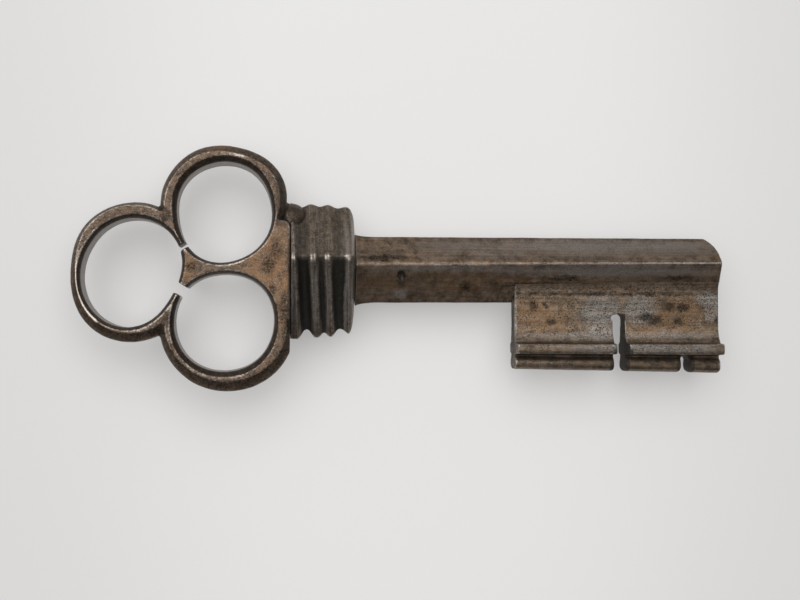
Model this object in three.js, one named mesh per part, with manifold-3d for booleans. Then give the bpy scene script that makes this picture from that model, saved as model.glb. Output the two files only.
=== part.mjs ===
// Steel door key with a three-ring bow, a ribbed collar, a kite-section pipe shank and a warded bit.
// Millimetres. X runs along the shank from the bow to the bit end, +Y away from the bit, +Z up.
// The modelling origin is on the shank's axis at the bow's shoulder, in the key's mid plane.

import * as THREE from "three";
import { mergeVertices } from "three/addons/utils/BufferGeometryUtils.js";
import Module from "manifold-3d";

// Bow: a forged frame of three rings. A ring or a hole is a circle drawn out of round: oval, lobe
// and square are how far it bulges two, three and four ways, and each turn is one bulge's direction.
// A ring's rim is rounded by rim, and by rimSide more towards rimTurn.
// A hole's bevel is bevel wide, and its outline on the faces is shifted by bevelX and bevelY.
const BOW_THICKNESS_AT_COLLAR = 10.2;
const BOW_THICKNESS_AT_TIP = 8.6;
const UPPER_RING = {
  x: -12.78, y: 13.27, radius: 11.65, oval: 0.66, ovalTurn: 1, lobe: 0.11, lobeTurn: 62,
  square: 0.19, squareTurn: 24, rim: 0.85, rimSide: 0.35, rimTurn: 10,
};
const LOWER_RING = {
  x: -12.17, y: -11.55, radius: 12.85, oval: 0.3, ovalTurn: -6, lobe: 0.04, lobeTurn: 50,
  square: 0.04, squareTurn: -27, rim: 1.35, rimSide: 0.9, rimTurn: -60,
};
const END_RING = {
  x: -30.81, y: -0.77, radius: 12.81, oval: 1.15, ovalTurn: 84, lobe: 0.17, lobeTurn: 53,
  square: 0.19, squareTurn: -44, rim: 1.1, rimSide: 0.7, rimTurn: -75,
};
const UPPER_HOLE = {
  x: -12.81, y: 10.93, radius: 9.49, oval: 0.34, ovalTurn: 83, lobe: 0.08, lobeTurn: 9,
  square: 0.13, squareTurn: -31, bevel: 0.72, bevelX: 0.1, bevelY: 0.24,
};
const LOWER_HOLE = {
  x: -12.73, y: -10.58, radius: 9.6, oval: 0.11, ovalTurn: 25, lobe: 0.06, lobeTurn: 37,
  square: 0.1, squareTurn: -45, bevel: 0.85, bevelX: 0, bevelY: -0.28,
};
const END_HOLE = {
  x: -30.66, y: -0.81, radius: 9.9, oval: 0.75, ovalTurn: 66, lobe: 0.17, lobeTurn: 28,
  square: 0.06, squareTurn: 12, bevel: 0.6, bevelX: 0, bevelY: 0.05,
};
const BEVEL_DEPTH = 1.6;
const WEB_LENGTH = 23;
const WEB_TOP = 12.3;
const WEB_BOTTOM = -10;
const SHOULDER_CHAMFER = 0.5;
const UPPER_GAP = { x: -20.95, y: 3.95, width: 0.45, turn: 36 };
const LOWER_GAP = { x: -21.3, y: -4.3, width: 2, turn: -32 };
const GAP_LENGTH = 4;

// Tang: the bow's round spigot through the collar into the shank
const TANG_RADIUS = 2.1;
const TANG_IN_SHANK = 4.5;
const JOINT_CLEARANCE = 0.3;
const BORE_Y = 1;

// Collar: a kite-section ring with four ribs; a cut is a depth below the crests, square to the faces
const COLLAR_LENGTH = 12.8;
const COLLAR = { top: 13.3, bottom: -14.2, arrisY: 2, halfThickness: 9, arrisRadius: 0.5, edgeRadius: 0.5 };
const RIBS = [
  { at: 1.05, width: 1, cut: -0.15 },
  { at: 5.1, width: 1.7, cut: 0 },
  { at: 8, width: 1.6, cut: 0.08 },
  { at: 11, width: 0.8, cut: 0.32 },
];
const VALLEY_CUTS = [0.55, 0.28, 0.6];
const COLLAR_START_ROUND = { length: 0.5, cut: 0.6 };
const COLLAR_END_ROUND = { length: 1.35, cut: 2.6 };
const RIB_BULGE = 0.95;
const RIB_LEAN = 0.25;

// Shank: a kite-section bar bored from its end, slightly heavier at the bit than at the collar
const SHANK_LENGTH = 75;
const SHANK_AT_COLLAR = {
  top: 6.85, bottom: -7.15, arrisY: 0.95, halfThickness: 3.9, arrisRadius: 0.8, edgeRadius: 0.45,
};
const SHANK_AT_END = {
  top: 7.1, bottom: -7.3, arrisY: 1.5, halfThickness: 4, arrisRadius: 0.25, edgeRadius: 0.45,
};
const FLARE_LENGTH = 2.6;
const FLARE_SCALE = 1.13;
const PIPE_RADIUS = 2.2;
const PIPE_DEPTH = 48;
const END_ROUND_LENGTH = 4.4;
const END_ROUND_HEIGHT = 5;

// Bit: a plate with a rib, a groove under it and a rounded lip, cut by two ward slots
const BIT_LENGTH = 42.8;
const BIT_SEAT_Y = -4.3;
const BIT_BOTTOM_Y = -20.25;
const PLATE_HALF_THICKNESS = 1.65;
const SEAT_FILLET = 0.6;
const RIB_Y = -15.9;
const RIB_WIDTH = 2;
const RIB_ROUND = 0.5;
const RIB_SWEEP = 2.2;
const SWEEP_RISE = 0.25;
const RIB_FRONT_HEIGHT = 5.2;
const RIB_BACK_HEIGHT = 3;
const GROOVE_WIDTH = 1.1;
const GROOVE_HALF_THICKNESS = 1.9;
const LIP_FRONT_HEIGHT = 3;
const LIP_BACK_HEIGHT = 2.4;
const LIP_ROUND = 0.7;
const BIT_FLARE = 0.55;
const LONG_SLOT = { fromEnd: 21.15, width: 2.4, topY: -8.9, mouthRound: 0.7 };
const SHORT_SLOT = { fromEnd: 7.4, width: 2, topY: -17.45, mouthRound: 0.8 };
const HOOK_RADIUS = 0.6;
const HOOK_OFFSET = { x: -0.95, y: -0.8 };

// Mesh fineness
const RING_SEGMENTS = 72;
const RIM_STEPS = 6;
const BEVEL_STEPS = 5;
const RIB_STATIONS = 46;
const ROUND_STATIONS = 6;
const FLARE_STEPS = 6;
const BIT_STATIONS = 6;
const BORE_SEGMENTS = 32;
const CORNER_STEPS = 4;
const OVERRUN = 2;
const RIB_GAP = 0.05;
const BEVEL_OVERRUN = 0.5;
const RIM_POWER = 0.8;
const BEVEL_POWER = 1.5;

const BOW_LENGTH = END_RING.radius - END_RING.x;
const SHANK_END_X = COLLAR_LENGTH + SHANK_LENGTH;
const BIT_START_X = SHANK_END_X - BIT_LENGTH;

const wasm = await Module();
wasm.setup();

// Turns a closed geometry into a solid for cutting and joining.
function solidFrom(geometry) {
  const bare = geometry.clone();
  bare.deleteAttribute("normal");
  bare.deleteAttribute("uv");
  const merged = mergeVertices(bare, 1e-4);
  const corners = merged.index.array;
  const kept = [];
  for (let i = 0; i < corners.length; i += 3) {
    const [a, b, c] = [corners[i], corners[i + 1], corners[i + 2]];
    if (a !== b && b !== c && c !== a) {
      kept.push(a, b, c);
    }
  }
  const vertProperties = new Float32Array(merged.attributes.position.array);
  const triVerts = new Uint32Array(kept);
  return new wasm.Manifold(new wasm.Mesh({ numProp: 3, vertProperties, triVerts }));
}

// Turns a finished solid back into a geometry.
function geometryFrom(solid) {
  const mesh = solid.getMesh();
  const geometry = new THREE.BufferGeometry();
  geometry.setAttribute("position", new THREE.BufferAttribute(new Float32Array(mesh.vertProperties), 3));
  geometry.setIndex(new THREE.BufferAttribute(new Uint32Array(mesh.triVerts), 1));
  geometry.computeVertexNormals();
  return geometry;
}

// How far a bulge that repeats a number of times round the circle reaches in a direction.
function bulge(height, times, turn, angle) {
  return height * Math.cos(times * (angle - THREE.MathUtils.degToRad(turn)));
}

// Radius of an out-of-round ring or hole in a direction.
function outlineRadius({ radius, oval, ovalTurn, lobe, lobeTurn, square, squareTurn }, angle) {
  return radius + bulge(oval, 2, ovalTurn, angle) + bulge(lobe, 3, lobeTurn, angle)
    + bulge(square, 4, squareTurn, angle);
}

// Turns a profile about a vertical axis and draws it out of round. A profile point is
// (share, height): the share of the outline's radius, plus what beyond(angle, height) gives.
function outlineLathe(outline, profile, beyond) {
  const points = profile.map(([share, height]) => new THREE.Vector2(share, height));
  const geometry = new THREE.LatheGeometry(points, RING_SEGMENTS);
  geometry.rotateX(Math.PI / 2);
  const position = geometry.attributes.position;
  for (let i = 0; i < position.count; i += 1) {
    const [x, y, z] = [position.getX(i), position.getY(i), position.getZ(i)];
    const share = Math.hypot(x, y);
    const angle = Math.atan2(y, x);
    const radius = share > 0.5 ? outlineRadius(outline, angle) + beyond(angle, z) : 0;
    position.setXY(i, outline.x + radius * Math.cos(angle), outline.y + radius * Math.sin(angle));
  }
  return geometry;
}

// A disc with a flat face each side and a rim rounded more on one side of the ring.
function ringBlank(ring, halfThickness) {
  const rim = [];
  for (let i = 0; i <= RIM_STEPS; i += 1) {
    rim.push([1, halfThickness * Math.sin((i / RIM_STEPS - 0.5) * Math.PI)]);
  }
  const beyond = (angle, height) => {
    const share = Math.sqrt(Math.max(1 - (height / halfThickness) ** 2, 0));
    return (ring.rim + bulge(ring.rimSide, 1, ring.rimTurn, angle)) * (share ** RIM_POWER - 1);
  };
  return outlineLathe(ring, [[0, -halfThickness], ...rim, [0, halfThickness]], beyond);
}

// A cutter for a ring's hole: straight in the middle and bevelled towards both faces.
function holeCutter(hole, halfThickness) {
  const reach = halfThickness + BEVEL_OVERRUN;
  const bevelShare = (height) => {
    const into = Math.abs(height) - (halfThickness - BEVEL_DEPTH);
    return into > 0 ? (into / BEVEL_DEPTH) ** BEVEL_POWER : 0;
  };
  const upperWall = [];
  for (let i = 0; i <= BEVEL_STEPS; i += 1) {
    upperWall.push([1, reach - (1 - i / BEVEL_STEPS) * (BEVEL_DEPTH + BEVEL_OVERRUN)]);
  }
  const lowerWall = upperWall.map(([share, height]) => [share, -height]).reverse();
  const wall = [...lowerWall, ...upperWall];
  const geometry = outlineLathe(hole, [[0, -reach], ...wall, [0, reach]], (angle, height) => (
    bevelShare(height) * hole.bevel
  ));
  const position = geometry.attributes.position;
  for (let i = 0; i < position.count; i += 1) {
    const share = bevelShare(position.getZ(i));
    position.setX(i, position.getX(i) + hole.bevelX * share);
    position.setY(i, position.getY(i) + hole.bevelY * share);
  }
  return geometry;
}

// A box given by its lowest and highest corner.
function boxBetween(low, high) {
  const geometry = new THREE.BoxGeometry(high[0] - low[0], high[1] - low[1], high[2] - low[2]);
  geometry.translate((low[0] + high[0]) / 2, (low[1] + high[1]) / 2, (low[2] + high[2]) / 2);
  return geometry;
}

// A straight saw cut between two neighbouring holes.
function gapCutter({ x, y, width, turn }, halfThickness) {
  const geometry = new THREE.BoxGeometry(GAP_LENGTH, width, 2 * (halfThickness + OVERRUN));
  geometry.rotateZ(THREE.MathUtils.degToRad(turn));
  geometry.translate(x, y, 0);
  return geometry;
}

// A round bar along X.
function barAlongX(radius, start, end) {
  const geometry = new THREE.CylinderGeometry(radius, radius, end - start, BORE_SEGMENTS);
  geometry.rotateZ(-Math.PI / 2);
  geometry.translate((start + end) / 2, BORE_Y, 0);
  return geometry;
}

// Thins the bow evenly from its shoulder to its tip.
function taperBow(geometry) {
  const position = geometry.attributes.position;
  const tipScale = BOW_THICKNESS_AT_TIP / BOW_THICKNESS_AT_COLLAR;
  for (let i = 0; i < position.count; i += 1) {
    const along = -position.getX(i) / BOW_LENGTH;
    position.setZ(i, position.getZ(i) * (1 + (tipScale - 1) * along));
  }
  return geometry;
}

// A prism that takes the arris off the bow's shoulder, on the front or the back face.
function shoulderCutter(halfThickness) {
  const side = 2 * SHOULDER_CHAMFER ** 2;
  const geometry = new THREE.BoxGeometry(Math.sqrt(side), 4 * COLLAR.top, Math.sqrt(side));
  geometry.rotateY(Math.PI / 4);
  geometry.translate(0, 0, halfThickness);
  return geometry;
}

// The bow: three ring blanks and a web in one forging, pierced by three holes and two saw cuts.
function bow() {
  const half = BOW_THICKNESS_AT_COLLAR / 2;
  const web = boxBetween([-WEB_LENGTH, WEB_BOTTOM, -half], [0, WEB_TOP, half]);
  const beyond = boxBetween([0, -3 * COLLAR.top, -3 * half], [COLLAR_LENGTH, 3 * COLLAR.top, 3 * half]);
  let frame = solidFrom(web);
  for (const ring of [UPPER_RING, LOWER_RING, END_RING]) {
    frame = frame.add(solidFrom(ringBlank(ring, half)));
  }
  for (const hole of [UPPER_HOLE, LOWER_HOLE, END_HOLE]) {
    frame = frame.subtract(solidFrom(holeCutter(hole, half)));
  }
  for (const gap of [UPPER_GAP, LOWER_GAP]) {
    frame = frame.subtract(solidFrom(gapCutter(gap, half)));
  }
  for (const cutter of [beyond, shoulderCutter(half), shoulderCutter(-half)]) {
    frame = frame.subtract(solidFrom(cutter));
  }
  const tapered = solidFrom(taperBow(geometryFrom(frame)));
  const tang = solidFrom(barAlongX(TANG_RADIUS, -TANG_RADIUS, COLLAR_LENGTH + TANG_IN_SHANK));
  return geometryFrom(tapered.add(tang));
}

// A closed outline with each corner rounded by an arc.
function roundedOutline(corners) {
  const outline = [];
  for (let i = 0; i < corners.length; i += 1) {
    const { point, radius } = corners[i];
    const before = corners[(i + corners.length - 1) % corners.length].point.clone().sub(point).normalize();
    const after = corners[(i + 1) % corners.length].point.clone().sub(point).normalize();
    const halfAngle = before.angleTo(after) / 2;
    const inward = before.clone().add(after).normalize();
    const centre = point.clone().addScaledVector(inward, radius / Math.sin(halfAngle));
    const from = point.clone().addScaledVector(before, radius / Math.tan(halfAngle)).sub(centre);
    const sweep = Math.PI - 2 * halfAngle;
    for (let step = 0; step <= CORNER_STEPS; step += 1) {
      const turned = from.clone().rotateAround(new THREE.Vector2(), (sweep * step) / CORNER_STEPS);
      outline.push(turned.add(centre));
    }
  }
  return outline;
}

// The kite section, in (y, z), counter-clockwise as seen from the bit end.
function kiteOutline({ top, bottom, arrisY, halfThickness, arrisRadius, edgeRadius }) {
  return roundedOutline([
    { point: new THREE.Vector2(top, 0), radius: edgeRadius },
    { point: new THREE.Vector2(arrisY, halfThickness), radius: arrisRadius },
    { point: new THREE.Vector2(bottom, 0), radius: edgeRadius },
    { point: new THREE.Vector2(arrisY, -halfThickness), radius: arrisRadius },
  ]);
}

// A closed skin over outlines that follow each other towards +X, all with the same number of points.
// Each outline runs counter-clockwise as seen from +X, and the two end ones are flat.
function loft(rings) {
  const count = rings[0].length;
  const positions = rings.flat().flatMap((point) => point.toArray());
  const triangles = [];
  for (let ring = 0; ring + 1 < rings.length; ring += 1) {
    for (let j = 0; j < count; j += 1) {
      const next = (j + 1) % count;
      const [a, b] = [ring * count + j, ring * count + next];
      triangles.push(a, b, b + count, a, b + count, a + count);
    }
  }
  const last = (rings.length - 1) * count;
  const flat = rings[0].map((point) => new THREE.Vector2(point.y, point.z));
  for (const [a, b, c] of THREE.ShapeUtils.triangulateShape(flat, [])) {
    triangles.push(a, c, b, last + a, last + b, last + c);
  }
  const geometry = new THREE.BufferGeometry();
  geometry.setAttribute("position", new THREE.Float32BufferAttribute(positions, 3));
  geometry.setIndex(triangles);
  return geometry;
}

// The collar's stations, as (distance along it, depth of its faces below the crests).
function collarStations() {
  const { length: startLength, cut: startCut } = COLLAR_START_ROUND;
  const { length: endLength, cut: endCut } = COLLAR_END_ROUND;
  const endX = COLLAR_LENGTH - endLength;
  const points = [new THREE.Vector2(startLength, RIBS[0].cut)];
  RIBS.forEach(({ at, width, cut }, i) => {
    points.push(new THREE.Vector2(at, cut));
    points.push(new THREE.Vector2(Math.min(at + width / 2, endX - RIB_GAP), cut));
    if (i + 1 < RIBS.length) {
      const next = RIBS[i + 1];
      const nextStart = next.at - next.width / 2;
      points.push(new THREE.Vector2((at + width / 2 + nextStart) / 2, VALLEY_CUTS[i]));
      points.push(new THREE.Vector2(nextStart, next.cut));
    }
  });
  points.push(new THREE.Vector2(endX, RIBS[RIBS.length - 1].cut));
  const stations = new THREE.SplineCurve(points).getPoints(RIB_STATIONS);
  const first = stations[0].y;
  const last = stations[stations.length - 1].y;
  for (let i = 1; i <= ROUND_STATIONS; i += 1) {
    const turn = (i / ROUND_STATIONS) * (Math.PI / 2);
    const across = Math.sin(turn);
    const down = 1 - Math.cos(turn);
    stations.unshift(new THREE.Vector2(startLength * (1 - across), first + startCut * down));
    stations.push(new THREE.Vector2(endX + endLength * across, last + endCut * down));
  }
  return stations;
}

// The collar: kite sections drawn in and out at its stations, bored for the tang.
function collar() {
  const outline = kiteOutline(COLLAR);
  const upperSide = Math.hypot(COLLAR.top - COLLAR.arrisY, COLLAR.halfThickness);
  const lowerSide = Math.hypot(COLLAR.arrisY - COLLAR.bottom, COLLAR.halfThickness);
  const inradius = ((COLLAR.top - COLLAR.bottom) * COLLAR.halfThickness) / (upperSide + lowerSide);
  const rings = collarStations().map((station) => {
    const fromMiddle = (2 * station.x) / COLLAR_LENGTH - 1;
    const shift = 1 - fromMiddle ** 4;
    const scale = 1 - station.y / inradius;
    return outline.map(({ x: y, y: z }) => {
      const forward = (RIB_BULGE * Math.abs(z)) / COLLAR.halfThickness;
      const lean = (RIB_LEAN * y) / COLLAR.top;
      const ringY = COLLAR.arrisY + (y - COLLAR.arrisY) * scale;
      return new THREE.Vector3(station.x - (forward + lean) * shift, ringY, z * scale);
    });
  });
  const eye = barAlongX(TANG_RADIUS + JOINT_CLEARANCE, -OVERRUN, COLLAR_LENGTH + OVERRUN);
  return geometryFrom(solidFrom(loft(rings)).subtract(solidFrom(eye)));
}

// An outline in plan, extruded through the key's whole thickness.
function planCutter(shape) {
  const depth = 4 * COLLAR.halfThickness;
  const geometry = new THREE.ExtrudeGeometry(shape, { depth, bevelEnabled: false, curveSegments: 12 });
  geometry.translate(0, 0, -depth / 2);
  return geometry;
}

// Takes the spine's corner off the shank's end in an oval sweep.
function endRoundCutter() {
  const outer = SHANK_END_X + OVERRUN;
  const above = SHANK_AT_END.top + OVERRUN;
  const startX = SHANK_END_X - END_ROUND_LENGTH;
  const centreY = SHANK_AT_END.top - END_ROUND_HEIGHT;
  const shape = new THREE.Shape();
  shape.moveTo(startX, SHANK_AT_END.top);
  shape.absellipse(startX, centreY, END_ROUND_LENGTH, END_ROUND_HEIGHT, Math.PI / 2, 0, true);
  shape.lineTo(outer, centreY);
  shape.lineTo(outer, above);
  shape.lineTo(startX, above);
  return planCutter(shape);
}

// The shank: a kite-section pipe, flared at the collar and flattened where the bit is seated.
function shank() {
  const start = kiteOutline(SHANK_AT_COLLAR);
  const end = kiteOutline(SHANK_AT_END);
  const ringAt = (x, scale) => start.map((point, i) => {
    const { x: y, y: z } = point.clone().lerp(end[i], (x - COLLAR_LENGTH) / SHANK_LENGTH);
    return new THREE.Vector3(x, BORE_Y + (y - BORE_Y) * scale, z * scale);
  });
  const rings = [];
  for (let i = 0; i <= FLARE_STEPS; i += 1) {
    const along = i / FLARE_STEPS;
    const swell = (1 - Math.sqrt(1 - (1 - along) ** 2)) * (FLARE_SCALE - 1);
    rings.push(ringAt(COLLAR_LENGTH + along * FLARE_LENGTH, 1 + swell));
  }
  rings.push(ringAt(SHANK_END_X, 1));
  const reach = 2 * SHANK_AT_END.top;
  const seat = boxBetween([BIT_START_X, -2 * reach, -reach], [SHANK_END_X + OVERRUN, BIT_SEAT_Y, reach]);
  const socket = barAlongX(
    TANG_RADIUS + JOINT_CLEARANCE,
    COLLAR_LENGTH - OVERRUN,
    COLLAR_LENGTH + TANG_IN_SHANK + JOINT_CLEARANCE,
  );
  const pipe = barAlongX(PIPE_RADIUS, SHANK_END_X - PIPE_DEPTH, SHANK_END_X + OVERRUN);
  let bar = solidFrom(loft(rings));
  for (const cutter of [seat, socket, pipe, endRoundCutter()]) {
    bar = bar.subtract(solidFrom(cutter));
  }
  return geometryFrom(bar);
}

// Half of the bit's section, in (y, height above the mid plane), from its seat to its lower edge.
function bitSide(ribHeight, lipHeight) {
  const { bottom, arrisY, halfThickness } = SHANK_AT_END;
  const root = (halfThickness * (BIT_SEAT_Y - bottom)) / (arrisY - bottom);
  const ribTop = RIB_Y + RIB_WIDTH / 2;
  const ribFoot = RIB_Y - RIB_WIDTH / 2;
  const lipTop = ribFoot - GROOVE_WIDTH;
  const sweepTop = (2 * PLATE_HALF_THICKNESS + ribHeight) / 3;
  const plate = new THREE.SplineCurve([
    new THREE.Vector2(BIT_SEAT_Y - SEAT_FILLET, PLATE_HALF_THICKNESS),
    new THREE.Vector2((BIT_SEAT_Y + ribTop) / 2, PLATE_HALF_THICKNESS),
    new THREE.Vector2(ribTop + RIB_SWEEP, PLATE_HALF_THICKNESS + SWEEP_RISE),
    new THREE.Vector2(ribTop + SWEEP_RISE, sweepTop),
  ]);
  const rib = new THREE.SplineCurve([
    new THREE.Vector2(ribTop, sweepTop + SWEEP_RISE),
    new THREE.Vector2(ribTop - RIB_ROUND / 5, ribHeight - RIB_ROUND),
    new THREE.Vector2(ribTop - 1.3 * RIB_ROUND, ribHeight),
    new THREE.Vector2(ribFoot + 1.3 * RIB_ROUND, ribHeight),
    new THREE.Vector2(ribFoot + RIB_ROUND / 5, ribHeight - RIB_ROUND),
    new THREE.Vector2(ribFoot, (ribHeight + GROOVE_HALF_THICKNESS) / 2),
  ]);
  const lip = new THREE.SplineCurve([
    new THREE.Vector2(ribFoot - LIP_ROUND / 5, GROOVE_HALF_THICKNESS),
    new THREE.Vector2((ribFoot + lipTop) / 2, GROOVE_HALF_THICKNESS),
    new THREE.Vector2(lipTop, (GROOVE_HALF_THICKNESS + lipHeight) / 2),
    new THREE.Vector2(lipTop - LIP_ROUND, lipHeight),
    new THREE.Vector2(BIT_BOTTOM_Y + LIP_ROUND, lipHeight),
    new THREE.Vector2(BIT_BOTTOM_Y + LIP_ROUND / 5, lipHeight - LIP_ROUND),
    new THREE.Vector2(BIT_BOTTOM_Y, lipHeight - 2 * LIP_ROUND),
  ]);
  const seat = new THREE.Vector2(BIT_SEAT_Y, root);
  return [seat, ...plate.getPoints(7), ...rib.getPoints(9), ...lip.getPoints(11)];
}

// A ward slot, open at the bit's lower edge, with a round top and a rounded mouth.
function slotShape({ fromEnd, width, topY, mouthRound }) {
  const centre = SHANK_END_X - fromEnd;
  const half = width / 2;
  const mouthY = BIT_BOTTOM_Y - BIT_FLARE;
  const floorY = mouthY - OVERRUN;
  const shape = new THREE.Shape();
  shape.moveTo(centre - half - mouthRound, floorY);
  shape.lineTo(centre + half + mouthRound, floorY);
  shape.lineTo(centre + half + mouthRound, mouthY);
  shape.quadraticCurveTo(centre + half, mouthY, centre + half, mouthY + 2 * mouthRound);
  shape.lineTo(centre + half, topY - half);
  shape.absarc(centre, topY - half, half, 0, Math.PI, false);
  shape.lineTo(centre - half, mouthY + 2 * mouthRound);
  shape.quadraticCurveTo(centre - half, mouthY, centre - half - mouthRound, mouthY);
  return shape;
}

// The small round nick at the long slot's upper left, which gives it its hooked top.
function hookShape() {
  const shape = new THREE.Shape();
  const centre = SHANK_END_X - LONG_SLOT.fromEnd + HOOK_OFFSET.x;
  shape.absarc(centre, LONG_SLOT.topY + HOOK_OFFSET.y, HOOK_RADIUS, 0, 2 * Math.PI, false);
  return shape;
}

// The bit: its section drawn along X, deepening towards the end, with the ward slots cut through.
function bit() {
  const front = bitSide(RIB_FRONT_HEIGHT, LIP_FRONT_HEIGHT);
  const back = bitSide(RIB_BACK_HEIGHT, LIP_BACK_HEIGHT).reverse();
  const outline = [...front, ...back.map((point) => new THREE.Vector2(point.x, -point.y))];
  const rings = [];
  for (let i = 0; i <= BIT_STATIONS; i += 1) {
    const along = i / BIT_STATIONS;
    rings.push(outline.map(({ x: y, y: z }) => {
      const reach = (y - BIT_SEAT_Y) / (BIT_BOTTOM_Y - BIT_SEAT_Y);
      const flared = y - BIT_FLARE * (2 * along - 1) * reach ** 4;
      return new THREE.Vector3(BIT_START_X + along * BIT_LENGTH, flared, z);
    }));
  }
  let plate = solidFrom(loft(rings));
  for (const shape of [slotShape(LONG_SLOT), slotShape(SHORT_SLOT), hookShape()]) {
    plate = plate.subtract(solidFrom(planCutter(shape)));
  }
  return geometryFrom(plate);
}

// Worn steel, with a colour for each piece.
function steel(color, roughness) {
  return new THREE.MeshStandardMaterial({ color, roughness, metalness: 0.85 });
}

const PIECES = [
  ["bow", bow, steel(0x5e4a3a, 0.5)],
  ["collar", collar, steel(0x3a342d, 0.45)],
  ["shank", shank, steel(0x5f554a, 0.5)],
  ["bit", bit, steel(0x7d7060, 0.5)],
];

// The whole key, set down with the middle of its box's underside at the origin.
function key() {
  const group = new THREE.Group();
  for (const [name, make, material] of PIECES) {
    const mesh = new THREE.Mesh(make(), material);
    mesh.name = name;
    group.add(mesh);
  }
  const box = new THREE.Box3().setFromObject(group);
  const middle = box.getCenter(new THREE.Vector3());
  group.position.set(-middle.x, -middle.y, -box.min.z);
  return group;
}

export default key();
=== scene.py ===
"""Old steel door key: three-ring bow, ribbed collar, kite-section pipe shank and warded bit.

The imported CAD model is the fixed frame. Each piece is modelled at the bench in millimetres, with
the bench origin in the key's mid plane at the bow's shoulder, 1 mm below the tang's axis. It is
then set down in the frame in metres.
"""

import logging
import math
from contextlib import contextmanager
from dataclasses import dataclass
from enum import Enum
from typing import Callable, Iterator, Optional, Sequence, Union

import bpy
import numpy as np
from mathutils import Matrix, Vector


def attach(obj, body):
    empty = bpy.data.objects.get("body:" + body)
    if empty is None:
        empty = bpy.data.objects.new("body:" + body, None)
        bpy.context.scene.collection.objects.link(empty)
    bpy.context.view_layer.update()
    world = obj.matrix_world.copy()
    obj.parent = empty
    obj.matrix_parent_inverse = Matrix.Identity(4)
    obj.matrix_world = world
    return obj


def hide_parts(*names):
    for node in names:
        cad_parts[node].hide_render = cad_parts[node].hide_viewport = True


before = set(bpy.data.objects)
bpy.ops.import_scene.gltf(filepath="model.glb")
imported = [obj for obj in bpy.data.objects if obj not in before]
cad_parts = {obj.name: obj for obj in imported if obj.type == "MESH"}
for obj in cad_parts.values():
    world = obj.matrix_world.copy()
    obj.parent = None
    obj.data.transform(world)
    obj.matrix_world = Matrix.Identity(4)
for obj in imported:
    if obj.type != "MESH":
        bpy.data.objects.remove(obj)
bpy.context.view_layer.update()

LOG = logging.getLogger("key")

MM = 0.001
BENCH_ORIGIN = Vector((-22.66785, -0.06952, 9.1375))

Colour = tuple[float, float, float, float]
Outline = np.ndarray
Pair = tuple[float, float]
Point = tuple[float, float, float]


class Cut(Enum):
    """What a tool does to the piece that it meets."""

    AWAY = "DIFFERENCE"
    ADD = "UNION"


class Grain(Enum):
    """Which way a finish's file marks run: how fast they change along X, Y and Z, per mm."""

    LENGTHWISE = (0.045, 1.5, 1.5)
    ROUND = (1.8, 0.09, 0.09)
    CLOUDY = (0.28, 0.4, 0.4)


def tone(red: float, green: float, blue: float) -> Colour:
    """A colour given as a screen shows it, from 0 to 255.

    Args:
        red: Red on the screen.
        green: Green on the screen.
        blue: Blue on the screen.

    Returns:
        The same colour in linear light, with full alpha.
    """
    def linear(level: float) -> float:
        """One screen level in linear light."""
        share = level / 255
        return share / 12.92 if share <= 0.04045 else ((share + 0.055) / 1.055) ** 2.4

    return (linear(red), linear(green), linear(blue), 1.0)


# ---------------------------------------------------------------------------------------------
# Bench tools
# ---------------------------------------------------------------------------------------------


def focus(piece: bpy.types.Object) -> None:
    """Selects one object alone and makes it active.

    Args:
        piece: The object to work on.
    """
    bpy.ops.object.select_all(action="DESELECT")
    piece.select_set(True)
    bpy.context.view_layer.objects.active = piece


@contextmanager
def editing() -> Iterator[None]:
    """Edit mode on the active object, for as long as a block runs."""
    bpy.ops.object.mode_set(mode="EDIT")
    yield
    bpy.ops.object.mode_set(mode="OBJECT")


def settle(piece: bpy.types.Object) -> None:
    """Moves an object's place, turn and size into its mesh."""
    focus(piece)
    bpy.ops.object.transform_apply(location=True, rotation=True, scale=True)


def primitive(name: str, add: Callable[..., set[str]], **settings: object) -> bpy.types.Object:
    """Adds a primitive with nothing else selected and settles it.

    Args:
        name: Name of the new object.
        add: The operator that adds it.
        **settings: The operator's settings.

    Returns:
        The new object.
    """
    bpy.ops.object.select_all(action="DESELECT")
    add(**settings)
    piece = bpy.context.object
    piece.name = name
    settle(piece)
    return piece


def read_vertices(piece: bpy.types.Object, what: str) -> np.ndarray:
    """Reads one measure of every vertex.

    Args:
        piece: The mesh to read.
        what: "co" for the places, "normal" for the normals.

    Returns:
        X, Y and Z of each, one row per vertex.
    """
    flat = np.empty(len(piece.data.vertices) * 3)
    piece.data.vertices.foreach_get(what, flat)
    return flat.reshape(-1, 3)


def place(piece: bpy.types.Object, places: np.ndarray, first: int = 0) -> None:
    """Moves a run of vertices to given places.

    Args:
        piece: The mesh object.
        places: The new places, one row each.
        first: Index of the first vertex of the run.
    """
    every = read_vertices(piece, "co")
    every[first:first + len(places)] = places
    piece.data.vertices.foreach_set("co", every.ravel())
    piece.data.update()


def face_outwards(piece: bpy.types.Object) -> None:
    """Cuts a mesh's faces into triangles that all point out of it.

    Args:
        piece: A closed mesh.
    """
    focus(piece)
    with editing():
        bpy.ops.mesh.select_all(action="SELECT")
        bpy.ops.mesh.quads_convert_to_tris(quad_method="BEAUTY", ngon_method="CLIP")
        bpy.ops.mesh.normals_make_consistent(inside=False)


def draw_out(name: str, stations: Sequence[Outline]) -> bpy.types.Object:
    """Draws a flat face out through a row of outlines by extruding it station by station.

    Args:
        name: Name of the new object.
        stations: Outlines that follow each other, all with the same number of points.

    Returns:
        The closed blank.
    """
    count = len(stations[0])
    add = bpy.ops.mesh.primitive_circle_add
    piece = primitive(name, add, vertices=count, radius=1.0, fill_type="NGON")
    place(piece, stations[0])
    for index, station in enumerate(stations[1:], start=1):
        with editing():
            bpy.ops.mesh.extrude_region_move()
        place(piece, station, index * count)
    face_outwards(piece)
    return piece


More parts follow.
